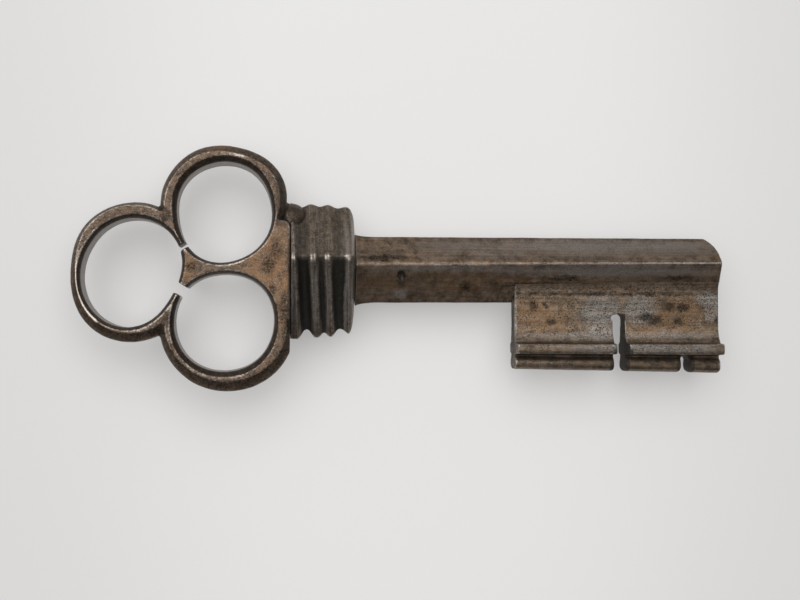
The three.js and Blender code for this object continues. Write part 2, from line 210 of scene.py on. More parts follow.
def block(name: str, low: Point, high: Point) -> bpy.types.Object:
    """A square block between two corners.

    Args:
        name: Name of the new object.
        low: Lowest corner.
        high: Highest corner.

    Returns:
        The block.
    """
    middle = [(a + b) / 2 for a, b in zip(low, high)]
    sides = [b - a for a, b in zip(low, high)]
    add = bpy.ops.mesh.primitive_cube_add
    return primitive(name, add, size=1.0, location=middle, scale=sides)


def rod(name: str, radius: float, low: float, high: float, y: float) -> bpy.types.Object:
    """A round bar along X in the mid plane.

    Args:
        name: Name of the new object.
        radius: Its radius.
        low: X of its first end.
        high: X of its other end.
        y: Y of its axis.

    Returns:
        The bar.
    """
    return primitive(
        name, bpy.ops.mesh.primitive_cylinder_add, vertices=64, radius=radius, depth=high - low,
        location=((low + high) / 2, y, 0), rotation=(0, math.pi / 2, 0),
    )


def ball(name: str, centre: Point, radii: Point, turn: float = 0.0) -> bpy.types.Object:
    """A ball stretched along its axes and turned in plan.

    Args:
        name: Name of the new object.
        centre: Its centre.
        radii: Its half widths.
        turn: Its turn about Z, in degrees.

    Returns:
        The ball.
    """
    return primitive(
        name, bpy.ops.mesh.primitive_uv_sphere_add, segments=32, ring_count=16, radius=1.0,
        location=centre, rotation=(0, 0, math.radians(turn)), scale=radii,
    )


def use_modifier(piece: bpy.types.Object, kind: str, **settings: object) -> None:
    """Adds a modifier, sets it and applies it.

    Args:
        piece: The mesh object.
        kind: The modifier's type.
        **settings: Its settings by name.
    """
    focus(piece)
    modifier = piece.modifiers.new(kind.lower(), kind)
    for setting, value in settings.items():
        setattr(modifier, setting, value)
    bpy.ops.object.modifier_apply(modifier=modifier.name)


def work(piece: bpy.types.Object, tool: bpy.types.Object, cut: Cut) -> None:
    """Cuts a tool out of a piece, or joins it on, and throws the tool away.

    Args:
        piece: The piece that is worked.
        tool: The tool or blank that meets it.
        cut: What the tool does.
    """
    use_modifier(piece, "BOOLEAN", operation=cut.value, object=tool, solver="MANIFOLD")
    bpy.data.objects.remove(tool)


def skin(piece: bpy.types.Object, voxel: float, ease: int) -> None:
    """Gives a piece an even skin of small faces, so that it can be worn and roughened.

    Args:
        piece: The mesh object.
        voxel: Size of the faces.
        ease: How many times the skin is eased, which wears its sharp edges.
    """
    use_modifier(piece, "REMESH", mode="VOXEL", voxel_size=voxel, adaptivity=0.0)
    use_modifier(piece, "SMOOTH", factor=0.5, iterations=ease)


def roughen(piece: bpy.types.Object, size: float, depth: float) -> None:
    """Makes a surface gently uneven, only inwards.

    Args:
        piece: The mesh object.
        size: Width of the hollows.
        depth: Depth of the deepest ones.
    """
    clouds = bpy.data.textures.new("hollows", "CLOUDS")
    clouds.noise_scale = size
    clouds.noise_depth = 2
    use_modifier(
        piece, "DISPLACE", texture=clouds, texture_coords="LOCAL", strength=depth, mid_level=1.0,
    )
    bpy.data.textures.remove(clouds)


def store(piece: bpy.types.Object, attribute: str, values: np.ndarray) -> None:
    """Stores one number for each vertex, which the finish then reads.

    Args:
        piece: The mesh object.
        attribute: Name of the point attribute.
        values: The numbers.
    """
    layer = piece.data.attributes.new(attribute, "FLOAT", "POINT")
    layer.data.foreach_set("value", values.astype(np.float32))


def read_relief(piece: bpy.types.Object, attribute: str, ease: int) -> None:
    """Stores how far each vertex stands out of its surroundings, or lies in them below zero.

    Args:
        piece: The mesh object.
        attribute: Name of the point attribute.
        ease: How many times the surroundings are averaged, which sets how far they reach.
    """
    mesh = piece.data
    edges = np.empty(len(mesh.edges) * 2, dtype=np.int32)
    mesh.edges.foreach_get("vertices", edges)
    start, end = edges.reshape(-1, 2).T
    here = np.concatenate([start, end])
    there = np.concatenate([end, start])
    places = read_vertices(piece, "co")
    count = len(places)
    neighbours = np.maximum(np.bincount(here, minlength=count), 1)
    span = float(np.mean(np.linalg.norm(places[start] - places[end], axis=1)))
    eased = places.copy()
    for _ in range(ease):
        for axis in range(3):
            near = np.bincount(here, weights=eased[there, axis], minlength=count) / neighbours
            eased[:, axis] = (eased[:, axis] + near) / 2
    relief = np.einsum("ij,ij->i", places - eased, read_vertices(piece, "normal"))
    store(piece, attribute, relief / (span * math.sqrt(ease) / 2))


def read_flatness(piece: bpy.types.Object) -> None:
    """Stores how level each vertex's surface lies, from 0 for a wall to 1 for a flat face."""
    store(piece, "flatness", np.abs(read_vertices(piece, "normal")[:, 2]))


def set_down(piece: bpy.types.Object) -> None:
    """Turns bench millimetres into metres in the frame, with the object left at the origin.

    Args:
        piece: A finished piece at the bench.
    """
    piece.scale = (MM, MM, MM)
    piece.location = BENCH_ORIGIN * MM
    settle(piece)
    bpy.ops.object.shade_smooth()


# ---------------------------------------------------------------------------------------------
# Outlines
# ---------------------------------------------------------------------------------------------


def fade(values: Union[float, np.ndarray], none: float, full: float) -> np.ndarray:
    """How far values have come from one bound, where the result is 0, to another, where it is 1."""
    return np.clip((values - none) / (full - none), 0, 1)


def spline(points: Sequence[Sequence[float]], count: int) -> np.ndarray:
    """Points along a smooth curve through given points.

    Args:
        points: The points that the curve passes through.
        count: How many stretches the result has.

    Returns:
        count + 1 points, one row each.
    """
    knots = np.array(points, dtype=float)
    padded = np.vstack([knots[:1], knots, knots[-1:], knots[-1:]])
    result = []
    for share in np.linspace(0, 1, count + 1):
        run = share * (len(knots) - 1)
        index = min(int(run), len(knots) - 1)
        along = run - index
        before, here, after, beyond = padded[index:index + 4]
        leave, arrive = (after - before) / 2, (beyond - here) / 2
        result.append(
            (2 * here - 2 * after + leave + arrive) * along ** 3
            + (-3 * here + 3 * after - 2 * leave - arrive) * along ** 2 + leave * along + here
        )
    return np.array(result)


@dataclass(frozen=True)
class Round:
    """A circle drawn out of round, which bulges two, three and four ways.

    Attributes:
        x: X of its centre.
        y: Y of its centre.
        radius: Mean radius.
        oval: Height and turn, in degrees, of the two-way bulge.
        lobe: The same of the three-way bulge.
        square: The same of the four-way bulge.
    """

    x: float
    y: float
    radius: float
    oval: Pair
    lobe: Pair
    square: Pair

    def reach(self, angle: np.ndarray) -> np.ndarray:
        """How far the outline is from its centre.

        Args:
            angle: Directions from the centre, in radians.

        Returns:
            The distance in each direction.
        """
        reach = np.full(len(angle), self.radius)
        for times, (height, turn) in ((2, self.oval), (3, self.lobe), (4, self.square)):
            reach += height * np.cos(times * (angle - math.radians(turn)))
        return reach

    def outline(self, z: float, beyond: Union[float, np.ndarray], points: int) -> Outline:
        """The outline at a height.

        Args:
            z: The height.
            beyond: What is added to the radius, for each point or for all.
            points: How many points the outline has.

        Returns:
            The outline's points, one row each.
        """
        angle = bearings(points)
        reach = self.reach(angle) + beyond
        return np.column_stack([
            self.x + reach * np.cos(angle), self.y + reach * np.sin(angle), np.full(points, z),
        ])


def bearings(points: int) -> np.ndarray:
    """Evenly spaced directions round a circle, in radians."""
    return np.linspace(0, 2 * math.pi, points, endpoint=False)


@dataclass(frozen=True)
class Ring(Round):
    """A ring's outer shape, with a rim rounded more on one side.

    Attributes:
        rim: How far the rim's rounding reaches in over each face.
        rim_side: How much more it reaches in towards rim_turn.
        rim_turn: That direction, in degrees.
        rim_depth: Depth of the rounding.
    """

    rim: float
    rim_side: float
    rim_turn: float
    rim_depth: float = 1.8

    def blank(self, half: float, points: int = 144, steps: int = 8) -> bpy.types.Object:
        """The ring as a solid disc.

        Args:
            half: Half its thickness.
            points: Points round it.
            steps: Stations over each rounding.

        Returns:
            The disc.
        """
        rim = self.rim + self.rim_side * np.cos(bearings(points) - math.radians(self.rim_turn))
        upper = np.linspace(half - self.rim_depth, half, steps + 1)
        stations = []
        for height in np.concatenate([-upper[::-1], upper]):
            into = (abs(height) - half + self.rim_depth) / self.rim_depth
            stations.append(self.outline(height, -rim * into ** 1.4, points))
        return draw_out("ring_blank", stations)


@dataclass(frozen=True)
class Hole(Round):
    """A ring's hole, bevelled towards both faces.

    Attributes:
        bevel: Width of the bevel on a face.
        shift: X and Y by which the bevel's outline on a face is moved.
        depth: Depth of the bevel.
    """

    bevel: float
    shift: Pair
    depth: float = 1.6

    def cutter(self, half: float, points: int = 144, steps: int = 7) -> bpy.types.Object:
        """The tool that cuts the hole.

        Args:
            half: Half the thickness of what it cuts.
            points: Points round it.
            steps: Stations over each bevel.

        Returns:
            The waisted cutter.
        """
        overrun = 0.6
        upper = np.linspace(half - self.depth, half + overrun, steps + 1)
        stations = []
        for height in np.concatenate([-upper[::-1], upper]):
            into = max(abs(height) - (half - self.depth), 0) / self.depth
            share = into ** 1.5
            station = self.outline(height, self.bevel * share, points)
            station[:, 0] += self.shift[0] * share
            station[:, 1] += self.shift[1] * share
            stations.append(station)
        return draw_out("hole_cutter", stations)

    def bevelled(self, places: np.ndarray, half: float) -> np.ndarray:
        """How far each place lies within the hole's bevels, from 0 to 1.

        Args:
            places: The places, one row each, as if the piece were of even thickness.
            half: Half that thickness.

        Returns:
            The shares.
        """
        across, up = places[:, 0] - self.x, places[:, 1] - self.y
        angle = np.arctan2(up, across)
        lean = self.shift[0] * np.cos(angle) + self.shift[1] * np.sin(angle)
        beyond = self.reach(angle) + self.bevel + lean - np.hypot(across, up)
        into = np.abs(places[:, 2]) - (half - self.depth)
        return fade(beyond, -0.05, 0.15) * fade(into, 0, 0.3)


@dataclass(frozen=True)
class Kite:
    """A kite section with rounded corners.

    Attributes:
        top: Y of its top corner.
        bottom: Y of its bottom corner.
        arris_y: Y of the two side corners, which are the arrises of the faces.
        half: Height of the arris above the mid plane.
        arris_round: Radius of the arrises.
        edge_round: Radius of the top and bottom corners.
    """

    top: float
    bottom: float
    arris_y: float
    half: float
    arris_round: float
    edge_round: float

    @property
    def inradius(self) -> float:
        """The size that depths are measured against.

        Returns:
            Radius of the circle that touches all four sides.
        """
        upper = math.hypot(self.top - self.arris_y, self.half)
        lower = math.hypot(self.arris_y - self.bottom, self.half)
        return (self.top - self.bottom) * self.half / (upper + lower)

    def depth(self, places: np.ndarray) -> np.ndarray:
        """How deep places lie under the section's sides, drawn out along X.

        Args:
            places: Places at the bench, one row each.

        Returns:
            The depth of each, below zero outside the section.
        """
        y = places[:, 1] - self.arris_y
        side = np.where(y > 0, self.top - self.arris_y, self.arris_y - self.bottom)
        return (1 - np.abs(y) / side - np.abs(places[:, 2]) / self.half) * self.inradius

    def section(self, flat_steps: int = 6, corner_steps: int = 8) -> np.ndarray:
        """The section's points as Y and Z.

        Args:
            flat_steps: Stretches on each side.
            corner_steps: Stretches round each corner.

        Returns:
            The points, one row each, round the section.
        """
        corners = [
            ((self.top, 0.0), self.edge_round), ((self.arris_y, self.half), self.arris_round),
            ((self.bottom, 0.0), self.edge_round), ((self.arris_y, -self.half), self.arris_round),
        ]
        arcs = []
        for index, (point, radius) in enumerate(corners):
            here = np.array(point)
            before = np.array(corners[index - 1][0]) - here
            after = np.array(corners[(index + 1) % 4][0]) - here
            before, after = before / np.linalg.norm(before), after / np.linalg.norm(after)
            half_angle = math.acos(float(np.clip(before @ after, -1, 1))) / 2
            inward = (before + after) / np.linalg.norm(before + after)
            centre = here + inward * radius / math.sin(half_angle)
            start = here + before * radius / math.tan(half_angle) - centre
            sweep = math.pi - 2 * half_angle
            arc = []
            for turn in np.linspace(0, sweep, corner_steps + 1):
                cosine, sine = math.cos(turn), math.sin(turn)
                arc.append(centre + (start[0] * cosine - start[1] * sine,
                                     start[0] * sine + start[1] * cosine))
            arcs.append(np.array(arc))
        points = []
        for index, arc in enumerate(arcs):
            points.append(arc)
            onward = arcs[(index + 1) % 4][0]
            shares = np.linspace(0, 1, flat_steps + 1)[1:-1, None]
            points.append(arc[-1] + (onward - arc[-1]) * shares)
        return np.vstack(points)


def plan_cutter(name: str, outline: Sequence[Sequence[float]], reach: float) -> bpy.types.Object:
    """A tool that cuts an outline in plan through the whole piece.

    Args:
        name: Name of the new object.
        outline: The outline's points as X and Y.
        reach: How far it reaches above and below the mid plane.

    Returns:
        The cutter.
    """
    flat = np.array(outline, dtype=float)
    ends = [np.column_stack([flat, np.full(len(flat), z)]) for z in (-reach, reach)]
    return draw_out(name, ends)


# ---------------------------------------------------------------------------------------------
# Finishes
# ---------------------------------------------------------------------------------------------


class Channel:
    """A value or vector in a node tree, on which Python's operators add nodes."""

    def __init__(self, graph: "Graph", socket: Optional[bpy.types.NodeSocket]) -> None:
        """Wraps a socket.

        Args:
            graph: The graph that the socket is in.
            socket: An output socket.
        """
        self.graph = graph
        self.socket = socket

    def _with(self, operation: str, first: object, second: object) -> "Channel":
        """One Math or Vector Math node on two values."""
        kind = "ShaderNodeMath" if self.socket.type == "VALUE" else "ShaderNodeVectorMath"
        return self.graph.node(kind, {"operation": operation}, {0: first, 1: second})

    def __add__(self, other: object) -> "Channel":
        """self + other."""
        return self._with("ADD", self, other)

    def __radd__(self, other: object) -> "Channel":
        """other + self."""
        return self._with("ADD", other, self)

    def __sub__(self, other: object) -> "Channel":
        """self - other."""
        return self._with("SUBTRACT", self, other)

    def __rsub__(self, other: object) -> "Channel":
        """other - self."""
        return self._with("SUBTRACT", other, self)

    def __mul__(self, other: object) -> "Channel":
        """self * other."""
        return self._with("MULTIPLY", self, other)

    def __rmul__(self, other: object) -> "Channel":
        """other * self."""
        return self._with("MULTIPLY", other, self)

    def larger(self, other: object) -> "Channel":
        """The larger of two values."""
        return self._with("MAXIMUM", self, other)

    def ramp(self, low: float, high: float) -> "Channel":
        """A soft step.

        Args:
            low: The value where the step begins, at 0.
            high: The value where it ends, at 1.

        Returns:
            The step.
        """
        return self.graph.node(
            "ShaderNodeMapRange", {"interpolation_type": "SMOOTHSTEP"},
            {"Value": self, "From Min": low, "From Max": high},
        )


class Pattern(Enum):
    """Noise patterns: how far each is moved, cells per mm, finer layers and their weight."""

    WANDER = ((0.0, 0.0, 0.0), 0.7, 5.0, 0.6)
    CLOUDS = ((0.0, 0.0, 0.0), 1.0, 8.0, 0.7)
    STAINS = ((31.0, 7.0, 3.0), 0.6, 8.0, 0.7)
    WEAR = ((5.0, 47.0, 11.0), 0.8, 8.0, 0.7)
    FINE = ((0.0, 0.0, 0.0), 2.4, 6.0, 0.75)
    SPECKLE = ((17.0, 3.0, 23.0), 2.0, 6.0, 0.8)
    FLECKS = ((2.0, 8.0, 4.0), 4.5, 3.0, 0.7)
    RUST = ((9.0, 14.0, 2.0), 1.2, 6.0, 0.7)
    MARKS = ((0.0, 0.0, 0.0), 1.0, 7.0, 0.72)
    SCRATCHES = ((3.0, 9.0, 5.0), 2.1, 5.0, 0.8)
    PITS = ((3.0, 1.0, 9.0), 1.0, 3.0, 0.75)
    PITTED = ((13.0, 29.0, 1.0), 0.35, 5.0, 0.6)
    FIBRES = ((0.0, 0.0, 0.0), 0.02, 3.0, 0.6)


class Graph:
    """The node tree of a material or of the world, and the patterns that the finishes share."""

    OUTPUTS = {"ShaderNodeMix": 2, "ShaderNodeTexCoord": 3}

    def __init__(self, owner: Union[bpy.types.Material, bpy.types.World]) -> None:
        """Empties the owner's node tree.

        Args:
            owner: The new material or world.
        """
        self.owner = owner
        owner.use_nodes = True
        self.tree = owner.node_tree
        self.tree.nodes.clear()

    def node(
        self, kind: str, settings: Optional[dict[str, object]] = None,
        inputs: Optional[dict[Union[str, int], object]] = None,
        output: Union[str, int, None] = None,
    ) -> Channel:
        """Adds a node.

        Args:
            kind: The node's type.
            settings: Its settings, which are set first.
            inputs: Values or channels for its sockets, by name or index.
            output: The socket that is wanted, by name or index.

        Returns:
            The wanted output socket.
        """
        node = self.tree.nodes.new(kind)
        for setting, value in (settings or {}).items():
            setattr(node, setting, value)
        for socket, value in (inputs or {}).items():
            if isinstance(value, Channel):
                self.tree.links.new(value.socket, node.inputs[socket])
            else:
                node.inputs[socket].default_value = value
        wanted = self.OUTPUTS.get(kind, 0) if output is None else output
        return Channel(self, node.outputs[wanted] if len(node.outputs) else None)

    def mix(self, share: object, first: object, second: object) -> Channel:
        """A colour between two others.

        Args:
            share: 0 for the first and 1 for the second.
            first: The first colour.
            second: The second colour.

        Returns:
            The mixed colour.
        """
        return self.node("ShaderNodeMix", {"data_type": "RGBA"}, {0: share, 6: first, 7: second})

    def bench_place(self) -> Channel:
        """The point's place at the bench, in millimetres."""
        place_in_frame = self.node("ShaderNodeTexCoord")
        return place_in_frame * (1 / MM, 1 / MM, 1 / MM) - tuple(BENCH_ORIGIN)

    def noise(
        self, pattern: Pattern, where: Channel, scale: float = 1.0,
        stretch: Optional[Point] = None, output: int = 0,
    ) -> Channel:
        """One of the noise patterns.

        Args:
            pattern: The pattern.
            where: The place that it is read at.
            scale: What its cells per millimetre are multiplied by.
            stretch: How fast it changes along X, Y and Z.
            output: 0 for a value and 1 for a colour.

        Returns:
            The noise, from 0 to 1.
        """
        offset, cells, detail, weight = pattern.value
        if any(offset):
            where = where + offset
        if stretch is not None:
            where = where * stretch
        inputs = {"Vector": where, "Scale": cells * scale, "Detail": detail, "Roughness": weight}
        return self.node("ShaderNodeTexNoise", {}, inputs, output)

    def stored(self, attribute: str) -> Channel:
        """A number that is stored for each point of a piece."""
        return self.node("ShaderNodeAttribute", {"attribute_name": attribute}, output="Fac")


@dataclass(frozen=True)
class Spot:
    """A patch at one place on a surface, whose edge is soft.

    Attributes:
        centre: Its centre at the bench.
        size: Its half widths along X, Y and Z.
        edge: Where its edge starts and ends, as shares of its half widths.
    """

    centre: Point
    size: Point
    edge: Pair = (0.4, 1.2)

    def mask(self, graph: Graph, where: Channel) -> Channel:
        """1 inside the patch, falling softly to 0 past its edge.

        Args:
            graph: The graph to add to.
            where: The place that it is read at.

        Returns:
            The mask.
        """
        offset = (where - self.centre) * tuple(1 / side for side in self.size)
        distance = graph.node("ShaderNodeVectorMath", {"operation": "LENGTH"}, {0: offset}, "Value")
        return 1 - distance.ramp(*self.edge)


def patches(*rows: tuple[float, ...]) -> tuple[Spot, ...]:
    """Patches from rows of a centre's X, Y and Z and the half widths along X, Y and Z."""
    return tuple(Spot(row[:3], row[3:]) for row in rows)


def gather(graph: Graph, where: Channel, spots: Sequence[Spot]) -> Optional[Channel]:
    """One mask of several patches.

    Args:
        graph: The graph to add to.
        where: The place that they are read at.
        spots: The patches.

    Returns:
        The mask, or None if there are no patches.
    """
    mask = None
    for spot in spots:
        here = spot.mask(graph, where)
        mask = here if mask is None else mask.larger(here)
    return mask


@dataclass(frozen=True)
class Patina:
    """Old steel with a brown patina, rubbed bright on its edges and grimy in its hollows.

    Attributes:
        name: Name of the material.
        dark: Colour of the patina's dark clouds.
        light: Colour of its light clouds.
        tint: Colour of the warm stains.
        tint_share: How much of the surface is stained, from 0 to 1.
        bare: Colour of rubbed steel.
        worn: Colour of worn grey steel.
        bare_share: How much of the surface is worn grey, from 0 to 1.
        grime_and_shade: Dark colour of grimy hollows and pits, also used for painted shade.
        grain: Which way the file marks run.
        grain_share: How strongly the file marks show in the colour.
        grain_depth: Height of the file marks, in millimetres.
        cloud: Clouds of patina per millimetre.
        edge: Relief at which rubbing starts and is full.
        hollow: Relief at which the grimy darkening of hollows starts and is full, as positive
            depths.
        pit_share: How much of the surface is pitted, from 0 to 1.
        pit_size: Pits per millimetre.
        roughness: Roughness of the patina and of rubbed steel.
        metallic: How metallic the patina is.
        scratch_share: How strongly bright scratches show.
        fleck_share: How strongly small bright flecks show.
        slope_shade: How much painted shade darkens the bevels and other slopes, from 0 to 1.
        wall_wear_and_sheen: How much the upright walls are worn grey, which also paints their
            reflection of the floor, from 0 to 1.
        solid: How solid the dark stains are, from 0 to 1.
        dark_spots: Patches of dark stain.
        bare_and_highlight_spots: Patches of grey, pitted steel, some also painting highlights on
            crests.
        tint_spots: Patches of warm stain.
        dirt_spots: Places where grimy deposits have gathered, such as joints.
        rub_and_highlight_spots: Places rubbed bright by use, and painted highlights and
            reflections.
        wander: How far the edges of stains wander, in millimetres.
        close_wander: The same of the places of grimy deposits, rubbing and highlights.
        rust_share: How strongly rust shows.
        worn_share: How strongly worn grey steel shows.
        shade: How much darker the file marks and speckles are, from 0 to 1.
        pit_dirt: How grimy the pits are, from 0 to 1.
        pit_depth: Depth of the pits, in millimetres.
        heights: Heights of the clouds, the fine grain and the speckles, in millimetres.
    """

    name: str
    dark: Colour
    light: Colour
    tint: Colour
    tint_share: float
    bare: Colour
    worn: Colour
    bare_share: float
    grime_and_shade: Colour
    grain: Grain
    grain_share: float
    grain_depth: float
    cloud: float
    edge: Pair
    hollow: Pair
    pit_share: float
    pit_size: float
    roughness: Pair
    metallic: float
    scratch_share: float = 0.3
    fleck_share: float = 0.3
    slope_shade: float = 0.0
    wall_wear_and_sheen: float = 0.0
    solid: float = 0.3
    dark_spots: tuple[Spot, ...] = ()
    bare_and_highlight_spots: tuple[Spot, ...] = ()
    tint_spots: tuple[Spot, ...] = ()
    dirt_spots: tuple[Spot, ...] = ()
    rub_and_highlight_spots: tuple[Spot, ...] = ()
    wander: float = 2.0
    close_wander: float = 0.8
    rust_share: float = 0.5
    worn_share: float = 0.8
    shade: float = 0.6
    pit_dirt: float = 0.9
    pit_depth: float = 0.05
    heights: Point = (0.04, 0.045, 0.03)

    def material(self) -> bpy.types.Material:
        """The finish as a material.

        Returns:
            The new material.
        """
        graph = Graph(bpy.data.materials.new(self.name))
        where = graph.bench_place()
        wander = graph.noise(Pattern.WANDER, where, output=1) - (0.5, 0.5, 0.5)
        wandering = where + wander * ((self.wander,) * 3)
        closely = where + wander * ((self.close_wander,) * 3)

        clouds = graph.noise(Pattern.CLOUDS, where, self.cloud)
        stains = graph.noise(Pattern.STAINS, where, self.cloud)
        worn = graph.noise(Pattern.WEAR, where, self.cloud)
        fine = graph.noise(Pattern.FINE, where)
        speckle = graph.noise(Pattern.SPECKLE, where)
        flecks = graph.noise(Pattern.FLECKS, where)
        rust = graph.noise(Pattern.RUST, where)
        marks = graph.noise(Pattern.MARKS, where, stretch=self.grain.value)
        scratches = graph.noise(Pattern.SCRATCHES, where, stretch=self.grain.value)
        pits = graph.noise(Pattern.PITS, where, self.pit_size)
        pitted = graph.noise(Pattern.PITTED, where)

        # A ramp's two numbers are where a pattern starts to show and where it shows in full.
        lines = marks.ramp(0.4, 0.6)
        pit_mask = pits.ramp(0.62 - 0.1 * self.pit_share, 0.7 - 0.1 * self.pit_share)
        pit_zone = pitted.ramp(0.62 - 0.3 * self.pit_share, 0.8 - 0.3 * self.pit_share)

        # Patina: clouds of two browns, warm stains and rust
        colour = graph.mix(clouds.ramp(0.36, 0.64), self.dark, self.light)
        stain_mask = stains.ramp(0.7 - 0.4 * self.tint_share, 0.86 - 0.4 * self.tint_share)
        tint_spots = gather(graph, wandering, self.tint_spots)
        if tint_spots is not None:
            stain_mask = stain_mask.larger(tint_spots * stains.ramp(0.3, 0.6))
        colour = graph.mix(stain_mask * (0.35 + lines * 0.5), colour, self.tint)
        colour = graph.mix(rust.ramp(0.5, 0.66) * self.rust_share, colour, self.tint)

        # Worn grey steel, also painting highlights on listed crests and reflections on upright
        # walls, file marks and bright scratches
        bare_mask = worn.ramp(0.78 - 0.4 * self.bare_share, 0.92 - 0.4 * self.bare_share)
        bare_and_highlight_spots = gather(graph, wandering, self.bare_and_highlight_spots)
        if bare_and_highlight_spots is not None:
            bare_mask = bare_mask.larger(bare_and_highlight_spots * worn.ramp(0.28, 0.52))
            pit_zone = pit_zone.larger(bare_and_highlight_spots)
        flat = graph.stored("flatness")
        # Upright walls worn grey, which also paints in their reflection of the floor
        bare_mask = bare_mask.larger((1 - flat.ramp(0.1, 0.4)) * self.wall_wear_and_sheen)
        colour = graph.mix(bare_mask * self.worn_share, colour, self.worn)
        shade = graph.mix(self.shade, colour, self.grime_and_shade)
        colour = graph.mix(lines * self.grain_share, colour, shade)
        colour = graph.mix(speckle.ramp(0.5, 0.66) * self.shade, colour, shade)
        bright = flecks.ramp(0.5, 0.7) * self.fleck_share
        bright = bright.larger(scratches.ramp(0.58, 0.7) * self.scratch_share)
        colour = graph.mix(bright, colour, self.bare)

        # Dark stains, grimy hollows, pits and joints, and painted shade on slopes, bevels, grooves
        # and slots
        dark_spots = gather(graph, wandering, self.dark_spots)
        if dark_spots is not None:
            stained = dark_spots * (self.solid + speckle.ramp(0.4, 0.6) * (0.95 - self.solid))
            colour = graph.mix(stained, colour, self.grime_and_shade)
        near = graph.stored("relief_near")
        far = graph.stored("relief_far")
        sunk = (near * -1).larger(far * -1) + (speckle - 0.5) * 0.25
        pitting = pit_mask * pit_zone
        dirt_and_shade = sunk.ramp(*self.hollow).larger(pitting * self.pit_dirt)
        # Painted shade: slopes between level and upright are darkened
        slopes = (1 - flat.ramp(0.8, 0.94)) * flat.ramp(0.15, 0.4)
        dirt_and_shade = dirt_and_shade.larger(slopes * (0.6 + speckle * 0.8) * self.slope_shade)
        # Each piece's own darkening by place, part grimy deposits and part painted shade
        soil_and_shade = graph.stored("soil_and_shade")
        dirt_and_shade = dirt_and_shade.larger(soil_and_shade * (0.7 + speckle * 0.6))
        dirt_spots = gather(graph, closely, self.dirt_spots)
        if dirt_spots is not None:
            dirt_and_shade = dirt_and_shade.larger(dirt_spots * (0.5 + speckle.ramp(0.3, 0.55) * 0.35))
        colour = graph.mix(dirt_and_shade, colour, self.grime_and_shade)

        # Edges and places rubbed bright, and painted highlights and reflections where a finish
        # lists them
        rubbed = near + (fine - 0.5) * (1.5 * self.edge[1])
        edge_mask = rubbed.ramp(*self.edge) * (1 - soil_and_shade.ramp(0.1, 0.5))
        rub_and_highlight_spots = gather(graph, closely, self.rub_and_highlight_spots)
        if rub_and_highlight_spots is not None:
            edge_mask = edge_mask.larger(rub_and_highlight_spots * (0.15 + flecks.ramp(0.4, 0.6) * 0.4))
        colour = graph.mix(edge_mask, colour, self.bare)

        # Gloss, and the unevenness that is finer than the mesh
        shine = edge_mask.larger(bare_mask * 0.4)
        patina_rough, rubbed_rough = self.roughness
        roughness = patina_rough + (clouds - 0.5) * 0.2 + (speckle - 0.5) * 0.2
        roughness = roughness + shine * (rubbed_rough - patina_rough) + dirt_and_shade * 0.2
        metallic = self.metallic + shine * (1 - self.metallic) - dirt_and_shade * (0.4 * self.metallic)

        height = marks * self.grain_depth
        for pattern, rise in zip((clouds, fine, speckle), self.heights):
            height = height + pattern * rise
        height = height - pitting * self.pit_depth
        shape = {"Strength": 1.0, "Distance": MM, "Height": height}
        bump = graph.node("ShaderNodeBump", {}, shape)
        shader = graph.node("ShaderNodeBsdfPrincipled", {}, {
            "Base Color": colour, "Roughness": roughness, "Metallic": metallic, "Normal": bump,
        })
        graph.node("ShaderNodeOutputMaterial", {}, {"Surface": shader})
        return graph.owner


# ---------------------------------------------------------------------------------------------
# Pieces
# ---------------------------------------------------------------------------------------------


# How far a cutter that is drawn in plan reaches above and below the mid plane
CUTTER_REACH = 12.0

# Width and depth of the hollows of an uneven forging and of fine rust
FORGED = (5.0, 0.1)
RUSTED = (1.1, 0.05)

# How many times a skin's surroundings are averaged, for narrow and for wide relief
NEAR = 10
FAR = 90


@dataclass
class Piece:
    """A steel piece of the key, from its blank to its finish.

    Attributes:
        name: Name of the piece.
        node: The CAD node that it replaces.
        slot: The record's material slot; not used.
        finish: Its finish.
        voxel: Size of its skin's faces.
        ease: How many times its skin is eased.
    """

    name: str
    node: str
    slot: str
    finish: Patina
    voxel: float
    ease: int

    def blank(self) -> bpy.types.Object:
        """The piece as it leaves the file, before its years of use."""
        raise NotImplementedError

    def soil_and_shade(self, places: np.ndarray) -> np.ndarray:
        """How grimy each place is by where it lies, with any painted shade there, from 0 to 1."""
        return np.zeros(len(places))

    def make(self) -> bpy.types.Object:
        """Models, ages, dresses and places the piece.

        Returns:
            The finished object.
        """
        piece = self.blank()
        piece.name = self.name
        piece.data.name = self.name
        skin(piece, self.voxel, self.ease)
        for hollows in (FORGED, RUSTED):
            roughen(piece, *hollows)
        read_relief(piece, "relief_near", NEAR)
        read_relief(piece, "relief_far", FAR)
        read_flatness(piece)
        store(piece, "soil_and_shade", self.soil_and_shade(read_vertices(piece, "co")))
        set_down(piece)
        piece.data.materials.clear()
        piece.data.materials.append(self.finish.material())
        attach(piece, "root")
        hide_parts(self.node)
        LOG.info("%s: %d faces", self.name, len(piece.data.polygons))
        return piece


